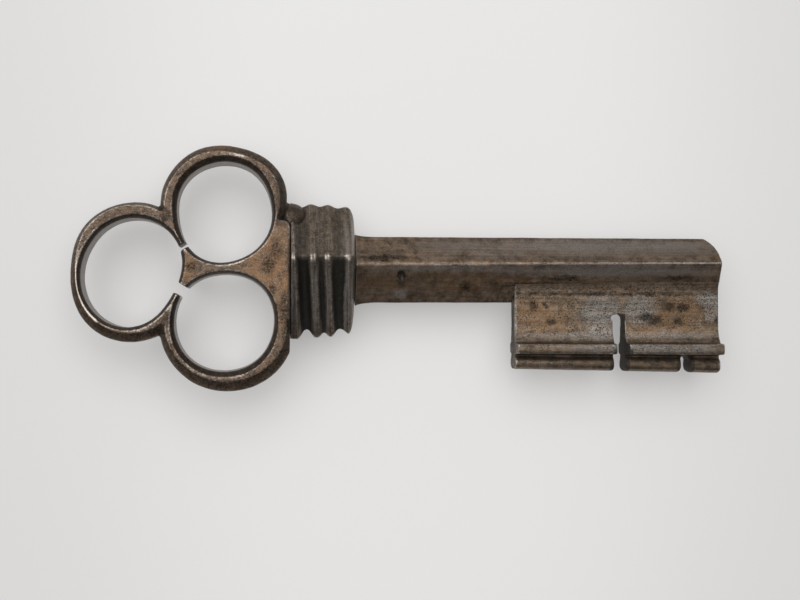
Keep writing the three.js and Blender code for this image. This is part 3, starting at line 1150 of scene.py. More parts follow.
@dataclass
class Bow(Piece):
    """The forged bow: three rings, a web with a stem and a fishtail, and the hidden tang.

    Attributes:
        half: Half its thickness at the shoulder.
        tip_scale: Its thickness at the tip as a share of that at the shoulder.
        rings: The upper, the lower and the end ring.
        holes: Their holes.
        web_low: Lowest X and Y of the web.
        web_high: Highest X and Y of the web, at the shoulder.
        braze: Centre and half widths of the lump of brazing metal.
        chamfer: Bevel of the shoulder's arrises.
        corner: Bevel of the web's upper corner.
        gaps: X, Y, width and turn, in degrees, of the saw cuts.
        gap_length: Their length.
        tang_radius: Radius of the tang.
        tang_end: X of its end.
        axis_y: Y of its axis.
    """

    half: float = 5.1
    tip_scale: float = 8.6 / 10.2
    rings: tuple[Ring, ...] = (
        Ring(-12.78, 13.04, 11.65, (0.66, 1), (0.11, 62), (0.19, 24), 1.1, 0.45, 50),
        Ring(-12.17, -11.55, 12.85, (0.3, -6), (0.04, 50), (0.04, -27), 1.4, 0.7, -70),
        Ring(-30.69, -0.81, 12.68, (1.15, 84), (0.17, 53), (0.19, -44), 1.25, 0.6, -80),
    )
    holes: tuple[Hole, ...] = (
        Hole(-12.81, 10.93, 9.49, (0.34, 83), (0.08, 9), (0.13, -31), 0.85, (-0.14, 0.3)),
        Hole(-12.73, -10.58, 9.6, (0.11, 25), (0.06, 37), (0.1, -45), 0.85, (0, -0.28)),
        Hole(-30.66, -0.81, 9.9, (0.75, 66), (0.17, 28), (0.06, 12), 0.72, (0, 0.05)),
    )
    web_low: Pair = (-23.0, -10.0)
    web_high: Pair = (0.0, 9.4)
    braze: tuple[Point, Point] = ((0.3, 9.9, 0.0), (3.3, 3.2, 3.7))
    chamfer: float = 0.15
    corner: float = 1.4
    gaps: tuple[tuple[float, float, float, float], ...] = (
        (-20.95, 4.0, 0.85, 33), (-21.3, -4.25, 1.95, -32),
    )
    gap_length: float = 4.0
    tang_radius: float = 2.1
    tang_end: float = 17.3
    axis_y: float = 1.0

    def web(self) -> bpy.types.Object:
        """The web, with its upper corner and its two shoulder arrises bevelled off.

        Returns:
            The web as a block.
        """
        slack = 1e-6
        web = block("bow_blank", (*self.web_low, -self.half), (*self.web_high, self.half))
        for offset, upright in ((self.corner, True), (self.chamfer, False)):
            focus(web)
            with editing():
                bpy.ops.mesh.select_mode(type="EDGE")
                bpy.ops.mesh.select_all(action="DESELECT")
            for edge in web.data.edges:
                ends = [web.data.vertices[index].co for index in edge.vertices]
                level = abs(ends[0].z - ends[1].z) < slack
                shoulder = all(end.x > self.web_high[0] - slack for end in ends)
                above = all(end.y > self.web_high[1] - slack for end in ends)
                edge.select = shoulder and (not level and above if upright else level)
            with editing():
                bpy.ops.mesh.bevel(offset=offset, segments=3)
        return web

    def thickness(self, places: np.ndarray) -> np.ndarray:
        """How thick the bow is at each place, as a share of its thickness at the shoulder."""
        tip = self.rings[2].radius - self.rings[2].x
        return 1 - (1 - self.tip_scale) * -places[:, 0] / tip

    def soil_and_shade(self, places: np.ndarray) -> np.ndarray:
        """Dirties the brazing and shoulder where hands don't rub, darkens the web's corner, and
        paints shade on the hole bevels.

        Args:
            places: Places on the bow, one row each.

        Returns:
            How dark each is, from 0 to 1.
        """
        even = places.copy()
        even[:, 2] /= self.thickness(places)
        centre, radii = (np.array(point) for point in self.braze)
        brazed = np.clip(4.4 - 3 * np.linalg.norm((places - centre) / radii, axis=1), 0, 1)
        x, y = places[:, 0], places[:, 1]
        shoulder = fade(x, -0.7, -0.3) * (0.6 + 0.4 * fade(y, 2.5, -0.5))
        corner = 0.8 * fade(x, -3.2, -2.6) * fade(y - self.web_high[1], -1.7, -1.1)
        # Painted shade on the bevels of the holes
        bevels = np.max([hole.bevelled(even, self.half) for hole in self.holes], axis=0)
        return np.max([0.4 * brazed, 0.5 * shoulder, 0.5 * corner, 0.5 * bevels], axis=0)

    def saw_cut(self, x: float, y: float, width: float, turn: float) -> bpy.types.Object:
        """The tool for one saw cut between two holes.

        Args:
            x: X of its middle.
            y: Y of its middle.
            width: Its width.
            turn: Its direction, in degrees.

        Returns:
            The tool.
        """
        corner = (self.gap_length / 2, width / 2, self.half + 2)
        tool = block("saw_cut", tuple(-side for side in corner), corner)
        tool.rotation_euler.z = math.radians(turn)
        tool.location = (x, y, 0)
        settle(tool)
        return tool

    def blank(self) -> bpy.types.Object:
        """The bow with its holes and saw cuts, thinned towards its tip.

        Returns:
            The bow.
        """
        bow = self.web()
        for ring in self.rings:
            work(bow, ring.blank(self.half), Cut.ADD)
        for hole in self.holes:
            work(bow, hole.cutter(self.half), Cut.AWAY)
        for gap in self.gaps:
            work(bow, self.saw_cut(*gap), Cut.AWAY)
        far = 60.0
        work(bow, block("beyond_shoulder", (0, -far, -far), (far, far, far)), Cut.AWAY)
        places = read_vertices(bow, "co")
        places[:, 2] *= self.thickness(places)
        place(bow, places)
        tang = rod("tang", self.tang_radius, -self.tang_radius, self.tang_end, self.axis_y)
        work(bow, tang, Cut.ADD)
        work(bow, ball("braze", *self.braze), Cut.ADD)
        return bow


@dataclass
class Collar(Piece):
    """The kite-section collar with four ribs. A cut is a depth below the highest crests.

    Attributes:
        length: Its length.
        kite: Its section at the crests.
        ribs: X, width and cut of each rib's crest.
        valleys: Cuts of the grooves between them.
        start_round: Length and depth of the rounding at the bow.
        end_round: Length and depth of the rounding at the shank.
        rib_bulges: How far each rib bulges towards the bow at the arris.
        rib_leans: How far each rib's upper end leans towards the bow.
        lower_groove: How much deeper the grooves are below the arris.
        upper_fill: How much shallower they are above it, as a share.
        eye_radius: Radius of the eye for the tang.
        axis_y: Y of its axis.
    """

    length: float = 12.8
    kite: Kite = Kite(13.3, -14.2, 2.0, 9.0, 1.6, 0.5)
    ribs: tuple[tuple[float, float, float], ...] = (
        (0.8, 0.6, -0.15), (4.75, 1.0, 0.0), (7.8, 0.8, 0.06), (11.35, 0.6, 0.3),
    )
    valleys: tuple[float, ...] = (0.58, 0.34, 0.62)
    start_round: Pair = (0.2, 0.12)
    end_round: Pair = (1.35, 2.6)
    rib_bulges: tuple[float, ...] = (0.25, 0.46, 0.84, 0.37)
    rib_leans: tuple[float, ...] = (0.58, 0.63, 0.3, 0.21)
    lower_groove: float = 0.6
    upper_fill: float = 0.2
    eye_radius: float = 2.4
    axis_y: float = 1.0

    def stations(self) -> list[Pair]:
        """Places along the collar, each with the depth of its faces below the crests.

        Returns:
            The places and depths.
        """
        start_length, start_cut = self.start_round
        end_length, end_cut = self.end_round
        end_x = self.length - end_length
        points = [(start_length, self.ribs[0][2])]
        for index, (at, width, cut) in enumerate(self.ribs):
            points += [(at, cut), (min(at + width / 2, end_x - 0.05), cut)]
            if index + 1 < len(self.ribs):
                onward_at, onward_width, onward_cut = self.ribs[index + 1]
                onward = onward_at - onward_width / 2
                points += [
                    ((at + width / 2 + onward) / 2, self.valleys[index]), (onward, onward_cut),
                ]
        points.append((end_x, self.ribs[-1][2]))
        stations = [tuple(point) for point in spline(points, 92)]
        first, last = stations[0][1], stations[-1][1]
        for turn in np.linspace(0, math.pi / 2, 9)[1:]:
            across, down = math.sin(turn), 1 - math.cos(turn)
            stations.insert(0, (start_length * (1 - across), first + start_cut * down))
            stations.append((end_x + end_length * across, last + end_cut * down))
        return stations

    def soil_and_shade(self, places: np.ndarray) -> np.ndarray:
        """Darkens the grooves with grimy deposits and painted shade, more shade below the arris,
        and dirties the joint with the bow.

        Args:
            places: Places on the collar, one row each.

        Returns:
            How dark each is, from 0 to 1.
        """
        x, y = places[:, 0], places[:, 1]
        crest = np.interp(x, *([rib[index] for rib in self.ribs] for index in (0, 2)))
        groove = fade(self.kite.depth(places) - crest, 0.25, 0.55)
        groove *= x < self.ribs[-1][0] - 0.6
        # Painted shade: grooves below the arris, on facets facing away from the lamp, are darker
        below = fade(self.kite.arris_y - y, -0.3, 0.7)
        joint = fade(x, 0.4, 0.15) * fade(y, 1.5, -1.5)
        return np.maximum(groove * (0.5 + 0.45 * below), 0.6 * joint)

    def blank(self) -> bpy.types.Object:
        """The collar, drawn through its stations and bored for the tang.

        Returns:
            The collar.
        """
        section = self.kite.section()
        y, z = section.T
        lower = fade(y, self.kite.arris_y, self.kite.bottom)
        upper = fade(y, self.kite.arris_y, self.kite.top)
        deepen = self.lower_groove * np.sin(math.pi * lower) ** 0.5
        outlines = []
        places = (0, *(rib[0] for rib in self.ribs), self.length)
        for along, cut in self.stations():
            bulge = np.interp(along, places, (0, *self.rib_bulges, 0))
            lean = np.interp(along, places, (0, *self.rib_leans, 0))
            middle = self.ribs[0][0] < along < self.ribs[-1][0]
            valley = float(fade(cut, 0.08, 0.48)) if middle else 0.0
            depth = cut * (1 - self.upper_fill * upper * valley) + valley * deepen
            scale = 1 - depth / self.kite.inradius
            forward = bulge * np.abs(z) / self.kite.half + lean * y / self.kite.top
            outlines.append(np.column_stack([
                along - forward, self.kite.arris_y + (y - self.kite.arris_y) * scale, z * scale,
            ]))
        collar = draw_out("collar_blank", outlines)
        work(collar, rod("eye", self.eye_radius, -2, self.length + 2, self.axis_y), Cut.AWAY)
        return collar


@dataclass
class Shank(Piece):
    """The kite-section pipe shank, flared at the collar and seated for the bit.

    Attributes:
        start: X of its end at the collar.
        length: Its length.
        at_collar: Its section there, without the flare.
        at_end: Its section at the other end.
        flare_length: Length of the flare.
        flare_scale: How much wider the shank is at the collar.
        bore_radius: Radius of the pipe.
        bore_depth: Depth of the pipe.
        socket: Radius of the tang's socket, and X of its end.
        seat_start: X at which the bit's seat starts.
        seat_y: Y of the seat.
        end_round: Length and height of the oval sweep at the spine's end.
        axis_y: Y of the pipe's axis.
        pit: Centre, half widths and turn of the ball that makes the pit.
        nick: The same of the nick.
    """

    start: float = 12.8
    length: float = 75.0
    at_collar: Kite = Kite(7.0, -7.4, 0.95, 3.9, 1.1, 0.45)
    at_end: Kite = Kite(7.1, -7.3, 1.5, 4.0, 0.3, 0.45)
    flare_length: float = 4.6
    flare_scale: float = 1.1
    bore_radius: float = 2.2
    bore_depth: float = 48.0
    socket: Pair = (2.4, 17.6)
    seat_start: float = 45.0
    seat_y: float = -5.2
    end_round: Pair = (4.4, 5.0)
    axis_y: float = 1.0
    pit: tuple[Point, Point, float] = ((22.1, -1.7, 3.0), (0.85, 1.4, 0.9), 12)
    nick: tuple[Point, Point, float] = ((33.0, 0.5, 4.1), (1.3, 0.32, 0.6), -20)

    @property
    def end(self) -> float:
        """X of the shank's end."""
        return self.start + self.length

    def soil_and_shade(self, places: np.ndarray) -> np.ndarray:
        """The shank is less rubbed below its arris, near the collar."""
        return 0.3 * fade(places[:, 0] - self.start, 22, 10) * fade(places[:, 1], 0.9, 0.1)

    def corner_cutter(self) -> bpy.types.Object:
        """The tool that takes the spine's corner off in an oval sweep.

        Returns:
            The tool.
        """
        length, height = self.end_round
        corner_x, centre_y = self.end - length, self.at_end.top - height
        over = 2.0
        outline = []
        for turn in np.linspace(math.pi / 2, 0, 17):
            outline.append((corner_x + length * math.cos(turn), centre_y + height * math.sin(turn)))
        far_x, far_y = self.end + over, self.at_end.top + over
        outline += [(far_x, centre_y), (far_x, far_y), (corner_x, far_y)]
        return plan_cutter("corner_cutter", outline, CUTTER_REACH)

    def blank(self) -> bpy.types.Object:
        """The shank with its seat, socket and bore.

        Returns:
            The shank.
        """
        start, end = self.at_collar.section(), self.at_end.section()
        outlines = []

        def station(x: float, scale: float) -> Outline:
            """The section at a distance, swelled about the axis.

            Args:
                x: The distance from the bow's shoulder.
                scale: The section's size, as a share of its own.

            Returns:
                The outline, one row per point.
            """
            y, z = (start + (end - start) * (x - self.start) / self.length).T
            return np.column_stack([
                np.full(len(y), x), self.axis_y + (y - self.axis_y) * scale, z * scale,
            ])

        for along in np.linspace(0, 1, 11):
            swell = (1 - math.sqrt(1 - (1 - along) ** 2)) * (self.flare_scale - 1)
            outlines.append(station(self.start + along * self.flare_length, 1 + swell))
        plain = np.linspace(self.start + self.flare_length, self.end, 13)[1:]
        outlines += [station(x, 1) for x in plain]
        shank = draw_out("shank_blank", outlines)
        far = 30.0
        seat = block("seat", (self.seat_start, -far, -far), (self.end + 2, self.seat_y, far))
        work(shank, seat, Cut.AWAY)
        radius, socket_end = self.socket
        work(shank, rod("socket", radius, self.start - 2, socket_end, self.axis_y), Cut.AWAY)
        bore = rod("bore", self.bore_radius, self.end - self.bore_depth, self.end + 2, self.axis_y)
        work(shank, bore, Cut.AWAY)
        work(shank, self.corner_cutter(), Cut.AWAY)
        for name, flaw in (("pit", self.pit), ("nick", self.nick)):
            work(shank, ball(name, *flaw), Cut.AWAY)
        return shank


@dataclass
class Bit(Piece):
    """The bit: a plate with a rib, a groove and a rounded lip, cut by two ward slots.

    Attributes:
        start: X of its left end.
        length: Its length.
        seat_y: Y up to which it goes into the shank's seat.
        bottom_y: Y of its lower edge in the middle.
        plate: Half the plate's thickness.
        fillet: Rise above seat_y and height of the points of the fillet at its root.
        rib_y: Y of the rib's middle.
        rib_width: Width of the rib.
        rib_round: Radius of its edges.
        rib_sweep: How far above it the plate starts to sweep up to it.
        sweep_rise: Rise of that sweep before the rib.
        rib_heights: Height of the rib above the mid plane, in front and at the back.
        groove_width: Width of the groove between the rib and the lip.
        groove_half: Half the thickness in the groove.
        lip_heights: Height of the lip above the mid plane, in front and at the back.
        lip_shape: Rise above the lower edge and share of the lip's height, for its points.
        flare: How much lower the lower edge is at the bit's right end, and higher at its left.
        long_slot: Distance from the bit's right end, width, Y of the top and radius of the mouth.
        short_slot: The same of the short ward slot.
        hook_radius: Radius of the hook at the long slot's top.
        hook_offset: X and Y of its centre from the slot's top.
    """

    start: float = 45.0
    length: float = 42.8
    seat_y: float = -4.3
    bottom_y: float = -20.58
    plate: float = 1.65
    fillet: tuple[Pair, ...] = (
        (2.35, 2.0), (1.95, 2.24), (1.0, 1.9), (0.1, 1.71), (-0.8, 1.65),
    )
    rib_y: float = -15.95
    rib_width: float = 2.35
    rib_round: float = 0.42
    rib_sweep: float = 2.2
    sweep_rise: float = 0.25
    rib_heights: Pair = (5.2, 3.0)
    groove_width: float = 0.55
    groove_half: float = 1.9
    lip_heights: Pair = (2.85, 2.4)
    lip_shape: tuple[Pair, ...] = (
        (2.62, 0.84), (2.3, 0.93), (1.85, 0.99), (1.35, 1.0),
        (0.85, 0.96), (0.42, 0.82), (0.15, 0.58), (0.0, 0.3),
    )
    flare: float = 0.5
    long_slot: tuple[float, float, float, float] = (21.15, 2.4, -8.9, 0.7)
    short_slot: tuple[float, float, float, float] = (7.4, 2.0, -17.45, 0.8)
    hook_radius: float = 0.6
    hook_offset: Pair = (-0.95, -0.8)

    @property
    def end(self) -> float:
        """X of the bit's end."""
        return self.start + self.length

    def side(self, rib: float, lip: float) -> np.ndarray:
        """Half of the section, from the seat to the lower edge.

        Args:
            rib: Height of the rib above the mid plane.
            lip: Height of the lip above the mid plane.

        Returns:
            The points as Y and height above the mid plane.
        """
        rib_top, rib_foot = self.rib_y + self.rib_width / 2, self.rib_y - self.rib_width / 2
        lip_top = rib_foot - self.groove_width
        sweep = (2 * self.plate + rib) / 3
        curl = self.rib_round
        root = spline([(self.seat_y + rise, height) for rise, height in self.fillet], 12)
        face = spline([
            (self.seat_y - 1.5, self.plate), ((self.seat_y + rib_top) / 2, self.plate),
            (rib_top + self.rib_sweep, self.plate + self.sweep_rise),
            (rib_top + self.sweep_rise, sweep),
        ], 24)
        crest = spline([
            (rib_top, sweep + self.sweep_rise), (rib_top - curl / 5, rib - curl),
            (rib_top - 1.3 * curl, rib), (rib_foot + 1.3 * curl, rib),
            (rib_foot + curl / 5, rib - curl), (rib_foot, (rib + self.groove_half) / 2),
        ], 24)
        edge = spline([
            (rib_foot - 0.15, self.groove_half), ((rib_foot + lip_top) / 2, self.groove_half),
            (lip_top, self.groove_half + 0.05 * lip),
            *((self.bottom_y + rise, lip * share) for rise, share in self.lip_shape),
        ], 30)
        return np.vstack([root, face, crest, edge])

    def soil_and_shade(self, places: np.ndarray) -> np.ndarray:
        """Paints shade on the walls of the ward slots and in the groove above the lip.

        Args:
            places: Places on the bit, one row each.

        Returns:
            How much painted shade each gets, from 0 to 1.
        """
        x, y = places[:, 0], places[:, 1]
        below_rib = self.rib_y - self.rib_width / 2 - y
        # Painted shade in the groove under the rib, fading over the lip's top
        painted_shade = np.interp(below_rib, (0, 0.05, 0.5, 0.8, 1.9, 2.4), (0, 0.35, 0.35, 0.2, 0.16, 0))
        # Painted shade on the walls of the ward slots
        margin, mouth_margin, in_slot = 0.12, 0.8, 0.75
        for from_end, width, top_y, _ in (self.long_slot, self.short_slot):
            across = np.abs(x - self.end + from_end) - width / 2
            reach = np.where(y < self.rib_y, mouth_margin, margin)
            painted_shade[(across < reach) & (y < top_y + margin)] = in_slot
        return painted_shade

    def slot_cutter(
        self, from_end: float, width: float, top_y: float, mouth: float,
    ) -> bpy.types.Object:
        """The tool for a ward slot with a round top and a rounded mouth.

        Args:
            from_end: Distance of its middle from the bit's end.
            width: Its width.
            top_y: Y of its top.
            mouth: Radius of its mouth.

        Returns:
            The tool.
        """
        centre, half = self.end - from_end, width / 2
        mouth_y = self.bottom_y - self.flare
        outline = [(half + mouth, mouth_y - 2)]
        for share in np.linspace(0, 1, 9):
            outline.append((half + mouth * (1 - share) ** 2, mouth_y + 2 * mouth * share ** 2))
        for turn in np.linspace(0, math.pi / 2, 9):
            outline.append((half * math.cos(turn), top_y - half + half * math.sin(turn)))
        outline += [(-x, y) for x, y in outline[-2::-1]]
        return plan_cutter("slot_cutter", [(centre + x, y) for x, y in outline], CUTTER_REACH)

    def hook_cutter(self) -> bpy.types.Object:
        """The small round tool that hooks the long slot's top.

        Returns:
            The tool.
        """
        angle = bearings(24)
        x = self.end - self.long_slot[0] + self.hook_offset[0] + self.hook_radius * np.cos(angle)
        y = self.long_slot[2] + self.hook_offset[1] + self.hook_radius * np.sin(angle)
        return plan_cutter("hook_cutter", np.column_stack([x, y]), CUTTER_REACH)

    def blank(self) -> bpy.types.Object:
        """The bit with its slots.

        Returns:
            The bit.
        """
        front = self.side(self.rib_heights[0], self.lip_heights[0])
        back = self.side(self.rib_heights[1], self.lip_heights[1])[::-1] * (1, -1)
        y, z = np.vstack([front, back]).T
        reach = ((y - self.seat_y) / (self.bottom_y - self.seat_y)) ** 4
        outlines = []
        for along in np.linspace(0, 1, 9):
            outlines.append(np.column_stack([
                np.full(len(y), self.start + along * self.length),
                y - self.flare * (2 * along - 1) * reach, z,
            ]))
        bit = draw_out("bit_blank", outlines)
        for slot in (self.long_slot, self.short_slot):
            work(bit, self.slot_cutter(*slot), Cut.AWAY)
        work(bit, self.hook_cutter(), Cut.AWAY)
        return bit


# ---------------------------------------------------------------------------------------------
# Studio
# ---------------------------------------------------------------------------------------------


@dataclass
class Studio:
    """A plain light floor with a painted pool of light across its middle, a broad soft lamp above
    it and the camera.

    Attributes:
        camera_place: Where the camera stands, in frame millimetres.
        camera_target: What it looks at, in frame millimetres.
        lens: Its focal length in millimetres.
        sensor: Width of its film in millimetres.
        floor_tone: Colour of the floor.
        fibre_share: How light the floor's darker fibres are against it.
        light_pool: Where a pool of light is painted on the floor, at the bench.
        light_pool_tone: Painted colour of the floor there, paler than floor_tone.
        floor_glow: How much of the floor's own colour is seen without light on it.
        floor_size: Side of the floor in metres.
        sky: Colour of the world where it is lightest.
        horizon: Its colour on the far side of that.
        sky_strength: Strength of the world's light.
        sky_turn: Direction of its lightest point.
        lamp_place: Where the lamp hangs, in metres.
        lamp_size: Width of the lamp in metres.
        lamp_power: Its power in watts.
    """

    camera_place: Point = (-28.248, -10.2, 249.137)
    camera_target: Point = (-0.652, -6.173, 9.137)
    lens: float = 54.18
    sensor: float = 36.0
    floor_tone: Colour = tone(221, 220, 219)
    fibre_share: float = 0.985
    light_pool: Spot = Spot((27.0, 15.0, 0.0), (78.0, 200.0, 50.0))
    light_pool_tone: Colour = tone(231, 230, 229)
    floor_glow: float = 0.37
    floor_size: float = 6.0
    sky: Colour = tone(255, 255, 255)
    horizon: Colour = tone(130, 130, 130)
    sky_strength: float = 0.62
    sky_turn: Point = (-0.2, 0.5, 0.84)
    lamp_place: Point = (-0.08, 0.19, 0.57)
    lamp_size: float = 0.8
    lamp_power: float = 3.1

    def camera(self) -> None:
        """The camera at the photograph's angle."""
        data = bpy.data.cameras.new("camera")
        data.lens = self.lens
        data.sensor_width = self.sensor
        data.sensor_fit = "HORIZONTAL"
        data.clip_start = 0.01
        camera = bpy.data.objects.new("camera", data)
        camera.location = Vector(self.camera_place) * MM
        ahead = (Vector(self.camera_target) - Vector(self.camera_place)).normalized()
        right = ahead.cross(Vector((0, 1, 0))).normalized()
        above = right.cross(ahead)
        camera.rotation_euler = Matrix((right, above, -ahead)).transposed().to_euler()
        bpy.context.scene.collection.objects.link(camera)
        bpy.context.scene.camera = camera

    def floor(self) -> None:
        """The floor."""
        floor = primitive("floor", bpy.ops.mesh.primitive_plane_add, size=self.floor_size)
        graph = Graph(bpy.data.materials.new("paper"))
        where = graph.bench_place()
        fibres = graph.noise(Pattern.FIBRES, where)
        fibre_tone = (*(self.fibre_share * part for part in self.floor_tone[:3]), 1.0)
        colour = graph.mix(fibres, self.floor_tone, fibre_tone)
        # Painted pool of light: the floor is paler across its middle
        colour = graph.mix(self.light_pool.mask(graph, where), colour, self.light_pool_tone)
        paper = graph.node("ShaderNodeBsdfPrincipled", {}, {"Base Color": colour, "Roughness": 0.9})
        glow = graph.node("ShaderNodeEmission", {}, {"Color": colour, "Strength": 1.0})
        seen = [
            graph.node("ShaderNodeLightPath", {}, {}, f"Is {kind} Ray")
            for kind in ("Camera", "Glossy", "Transmission")
        ]
        share = seen[0].larger(seen[1]).larger(seen[2]) * self.floor_glow
        shader = graph.node("ShaderNodeMixShader", {}, {0: share, 1: paper, 2: glow})
        graph.node("ShaderNodeOutputMaterial", {}, {"Surface": shader})
        floor.data.materials.append(graph.owner)

    def light(self) -> None:
        """The lamp and the world."""
        data = bpy.data.lights.new("lamp", "AREA")
        data.shape = "DISK"
        data.size = self.lamp_size
        data.energy = self.lamp_power
        lamp = bpy.data.objects.new("lamp", data)
        lamp.location = self.lamp_place
        lamp.rotation_euler = (-Vector(self.lamp_place)).to_track_quat("-Z", "Y").to_euler()
        bpy.context.scene.collection.objects.link(lamp)

        graph = Graph(bpy.data.worlds.new("studio"))
        direction = graph.node("ShaderNodeTexCoord", output="Generated")
        facing = graph.node(
            "ShaderNodeVectorMath", {"operation": "DOT_PRODUCT"}, {0: direction, 1: self.sky_turn},
            "Value",
        )
        colour = graph.mix(facing.ramp(0.0, 1.0), self.horizon, self.sky)
        light = {"Color": colour, "Strength": self.sky_strength}
        background = graph.node("ShaderNodeBackground", {}, light)
        graph.node("ShaderNodeOutputWorld", {}, {"Surface": background})
        bpy.context.scene.world = graph.owner

    def set_up(self) -> None:
        """Builds the studio and sets how the picture is shown."""
        self.camera()
        self.floor()
        self.light()
        bpy.context.scene.view_settings.view_transform = "Standard"
        LOG.info("studio: camera, floor, lamp and world")


# Dark colour of grimy hollows, also used to paint shade
GRIME_AND_SHADE = tone(30, 26, 21)

BOW_PATINA = Patina(
    name="bow_patina", dark=tone(54, 44, 36), light=tone(96, 80, 66), tint=tone(125, 93, 64),
    tint_share=0.3, bare=tone(176, 166, 156), worn=tone(138, 130, 124), bare_share=0.1,
    grime_and_shade=GRIME_AND_SHADE, grain=Grain.CLOUDY, grain_share=0.2, grain_depth=0.02, cloud=0.9,
    edge=(0.13, 0.3), hollow=(0.1, 0.3), pit_share=0.3, pit_size=3.2, roughness=(0.4, 0.28),
    metallic=0.9, scratch_share=0.2, fleck_share=0.32, slope_shade=0.05, wall_wear_and_sheen=0.7,
    dark_spots=patches(
        (-2.8, 3.6, 5.1, 1.4, 2.6, 2), (-4.2, 0.6, 5.1, 1.6, 2.4, 2),
        (-19.3, 0.2, 5.0, 1.4, 1.2, 2), (-3.6, -4.4, 5.1, 0.9, 1.6, 2),
        (-22.6, -9.5, 4.5, 2.2, 2.6, 3), (-24.0, 9.8, 4.5, 1.2, 1.2, 3),
        (-0.9, -9.0, 5.1, 1.3, 5.5, 2),
    ),
    tint_spots=patches(
        (-4.0, 1.5, 5.1, 6.5, 10.0, 3), (-20.0, 0.0, 5.0, 2.0, 3.0, 3),
        (-2.6, -9.0, 5.1, 2.0, 6.0, 3), (-14.0, 23.6, 5.0, 4.0, 1.5, 3),
    ),
)
COLLAR_PATINA = Patina(
    name="collar_patina", dark=tone(84, 74, 63), light=tone(130, 118, 105), tint=tone(116, 90, 62),
    tint_share=0.3, bare=tone(182, 174, 166), worn=tone(146, 137, 128), bare_share=0.1,
    grime_and_shade=tone(22, 22, 17), grain=Grain.ROUND, grain_share=0.8, grain_depth=0.05, cloud=0.8,
    edge=(0.07, 0.24), hollow=(0.2, 0.6), pit_share=0.35, pit_size=3.0, roughness=(0.42, 0.3),
    metallic=0.9,
    # Grey worn crests below the arris, with painted highlights where the crests catch the lamp
    bare_and_highlight_spots=patches(
        (0.9, -5.5, 4.0, 0.6, 9.0, 7), (4.5, -5.5, 4.0, 0.8, 9.0, 7), (7.0, -5.5, 4.0, 0.7, 9.0, 7),
        (10.8, -5.5, 4.0, 1.1, 9.0, 7), (10.9, 4.0, 5.0, 1.1, 5.0, 5),
    ),
    # A painted reflection on the rounded end at the shank, then rubbed crest lines with painted
    # highlights
    rub_and_highlight_spots=patches(
        (12.5, 1.0, 4.0, 0.9, 16.0, 9), (0.3, -4.5, 4.0, 0.3, 9.0, 7),
        (4.9, -5.5, 4.0, 0.5, 9.0, 7), (7.5, -5.5, 4.0, 0.5, 9.0, 7),
        (10.95, -5.5, 4.0, 0.5, 9.0, 7),
    ),
)
SHANK_PATINA = Patina(
    name="shank_patina", dark=tone(80, 66, 52), light=tone(132, 114, 98), tint=tone(128, 98, 68),
    tint_share=0.4, bare=tone(149, 144, 141), worn=tone(134, 121, 110), bare_share=0.08,
    grime_and_shade=GRIME_AND_SHADE, grain=Grain.LENGTHWISE, grain_share=0.5, grain_depth=0.04, cloud=0.5,
    edge=(0.1, 0.3), hollow=(0.1, 0.5), pit_share=0.25, pit_size=3.0, roughness=(0.42, 0.4),
    metallic=0.9, solid=0.45,
    dark_spots=patches(
        (22.1, -1.9, 2.6, 1.1, 1.9, 2), (33.0, 0.4, 3.8, 1.2, 0.5, 1),
        (35.0, -3.5, 2.0, 1.4, 1.2, 2), (55.2, -1.8, 2.9, 5.0, 0.8, 1.2),
        (78.5, -1.6, 3.0, 5.0, 0.7, 1.2), (50.0, -3.2, 2.0, 12.0, 0.8, 1.2),
        (18.0, 2.3, 3.3, 6.5, 0.8, 1.5),
    ),
    dirt_spots=patches((22.0, -1.9, 2.4, 1.3, 2.0, 1.4), (52.0, -3.1, 1.9, 9.0, 0.7, 1.2)),
    bare_and_highlight_spots=patches(
        (60.0, 4.2, 2.2, 18.0, 2.6, 3), (32.0, 4.8, 2.0, 9.0, 2.0, 3),
        (78.0, 4.5, 2.0, 9.0, 2.4, 3), (42.0, 3.5, 2.6, 8.0, 1.6, 2),
        (45.0, -0.3, 3.4, 6.0, 0.9, 1.5), (68.0, -0.6, 3.4, 24.0, 1.5, 1.6),
    ),
    tint_spots=patches((30.0, -2.5, 2.2, 26.0, 2.4, 3), (66.0, -1.2, 2.8, 22.0, 2.0, 2)),
    rub_and_highlight_spots=patches(
        (33.0, 0.15, 3.8, 19.0, 1.0, 1.2), (22.0, -5.0, 1.2, 1.6, 1.2, 1.5),
        (64.0, -0.2, 3.4, 24.0, 1.6, 1.6), (64.0, 5.2, 1.6, 34.0, 1.8, 1.8),
        (68.0, 0.8, 4.0, 24.0, 0.4, 1.0), (76.0, -3.0, 2.2, 12.0, 0.8, 1.2),
    ),
)
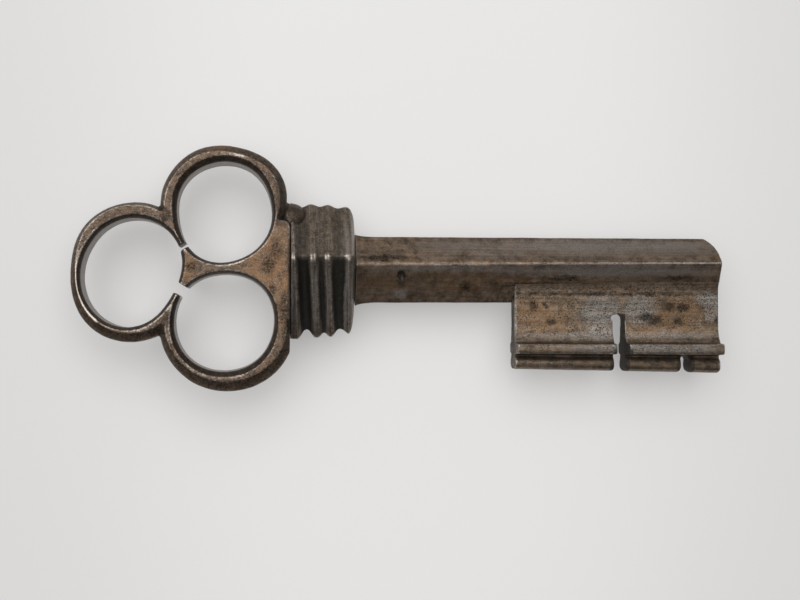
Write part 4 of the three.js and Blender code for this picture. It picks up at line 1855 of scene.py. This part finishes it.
BIT_PATINA = Patina(
    name="bit_patina", dark=tone(84, 71, 58), light=tone(132, 115, 98), tint=tone(137, 104, 71),
    tint_share=0.4, bare=tone(158, 154, 150), worn=tone(138, 133, 127), bare_share=0.1,
    grime_and_shade=tone(36, 32, 27), grain=Grain.LENGTHWISE, grain_share=0.7, grain_depth=0.04, cloud=0.6,
    edge=(0.09, 0.24), hollow=(0.38, 0.9), pit_share=0.7, pit_size=3.4, roughness=(0.46, 0.36),
    metallic=0.9, scratch_share=0.2, fleck_share=0.2, solid=0.65,
    dark_spots=patches(
        (66.0, -4.8, 2.1, 44.0, 0.5, 0.9), (48.8, -7.2, 1.7, 1.1, 1.0, 1),
        (51.3, -7.2, 1.7, 0.8, 0.8, 1), (52.6, -10.5, 1.7, 1.3, 1.0, 1),
        (77.3, -7.5, 1.7, 1.8, 1.3, 1), (80.1, -7.5, 1.7, 1.7, 1.1, 1),
        (72.4, -9.6, 1.7, 2.2, 1.1, 1), (74.4, -10.3, 1.7, 1.8, 1.2, 1),
        (79.0, -10.4, 1.7, 1.2, 1.0, 1), (87.6, -10.1, 1.7, 1.0, 1.0, 1),
        (80.5, -14.0, 1.7, 3.0, 0.7, 1), (74.0, -18.4, 3.6, 7.0, 1.8, 1.3),
        (85.0, -18.4, 3.6, 3.5, 1.8, 1.3),
    ),
    bare_and_highlight_spots=patches(
        (63.0, -8.5, 1.7, 5.0, 4.0, 2), (71.0, -8.0, 1.7, 4.0, 3.5, 2),
        (86.5, -7.8, 1.7, 2.2, 3.0, 2), (62.5, -12.5, 1.7, 3.0, 2.5, 2),
        (86.0, -5.8, 1.7, 3.4, 1.8, 2), (71.0, -15.9, 4.8, 19.0, 1.2, 1.5),
    ),
    tint_spots=patches(
        (50.0, -9.5, 1.7, 8.0, 5.0, 2), (79.0, -9.0, 1.7, 7.0, 4.5, 2),
        (72.0, -13.0, 1.7, 6.0, 2.0, 2),
    ),
    dirt_spots=patches((44.9, -12.0, 0.0, 0.4, 9.0, 4.0)),
    rub_and_highlight_spots=patches(
        (66.5, -3.4, 2.7, 28.0, 0.55, 0.9), (66.5, -13.3, 2.3, 28.0, 0.9, 1.2),
        (45.2, -9.5, 1.6, 0.4, 6.0, 0.9),
    ),
)


def main() -> None:
    logging.basicConfig(level=logging.INFO, format="%(name)s %(message)s")
    Studio().set_up()
    for piece in (
        Bow("bow_body", "bow", "bow_steel", BOW_PATINA, 0.26, 1),
        Collar("collar_body", "collar", "collar_steel", COLLAR_PATINA, 0.16, 2),
        Shank("shank_body", "shank", "shank_steel", SHANK_PATINA, 0.22, 2),
        Bit("bit_body", "bit", "bit_steel", BIT_PATINA, 0.18, 2),
    ):
        piece.make()


if __name__ == "__main__":
    main()
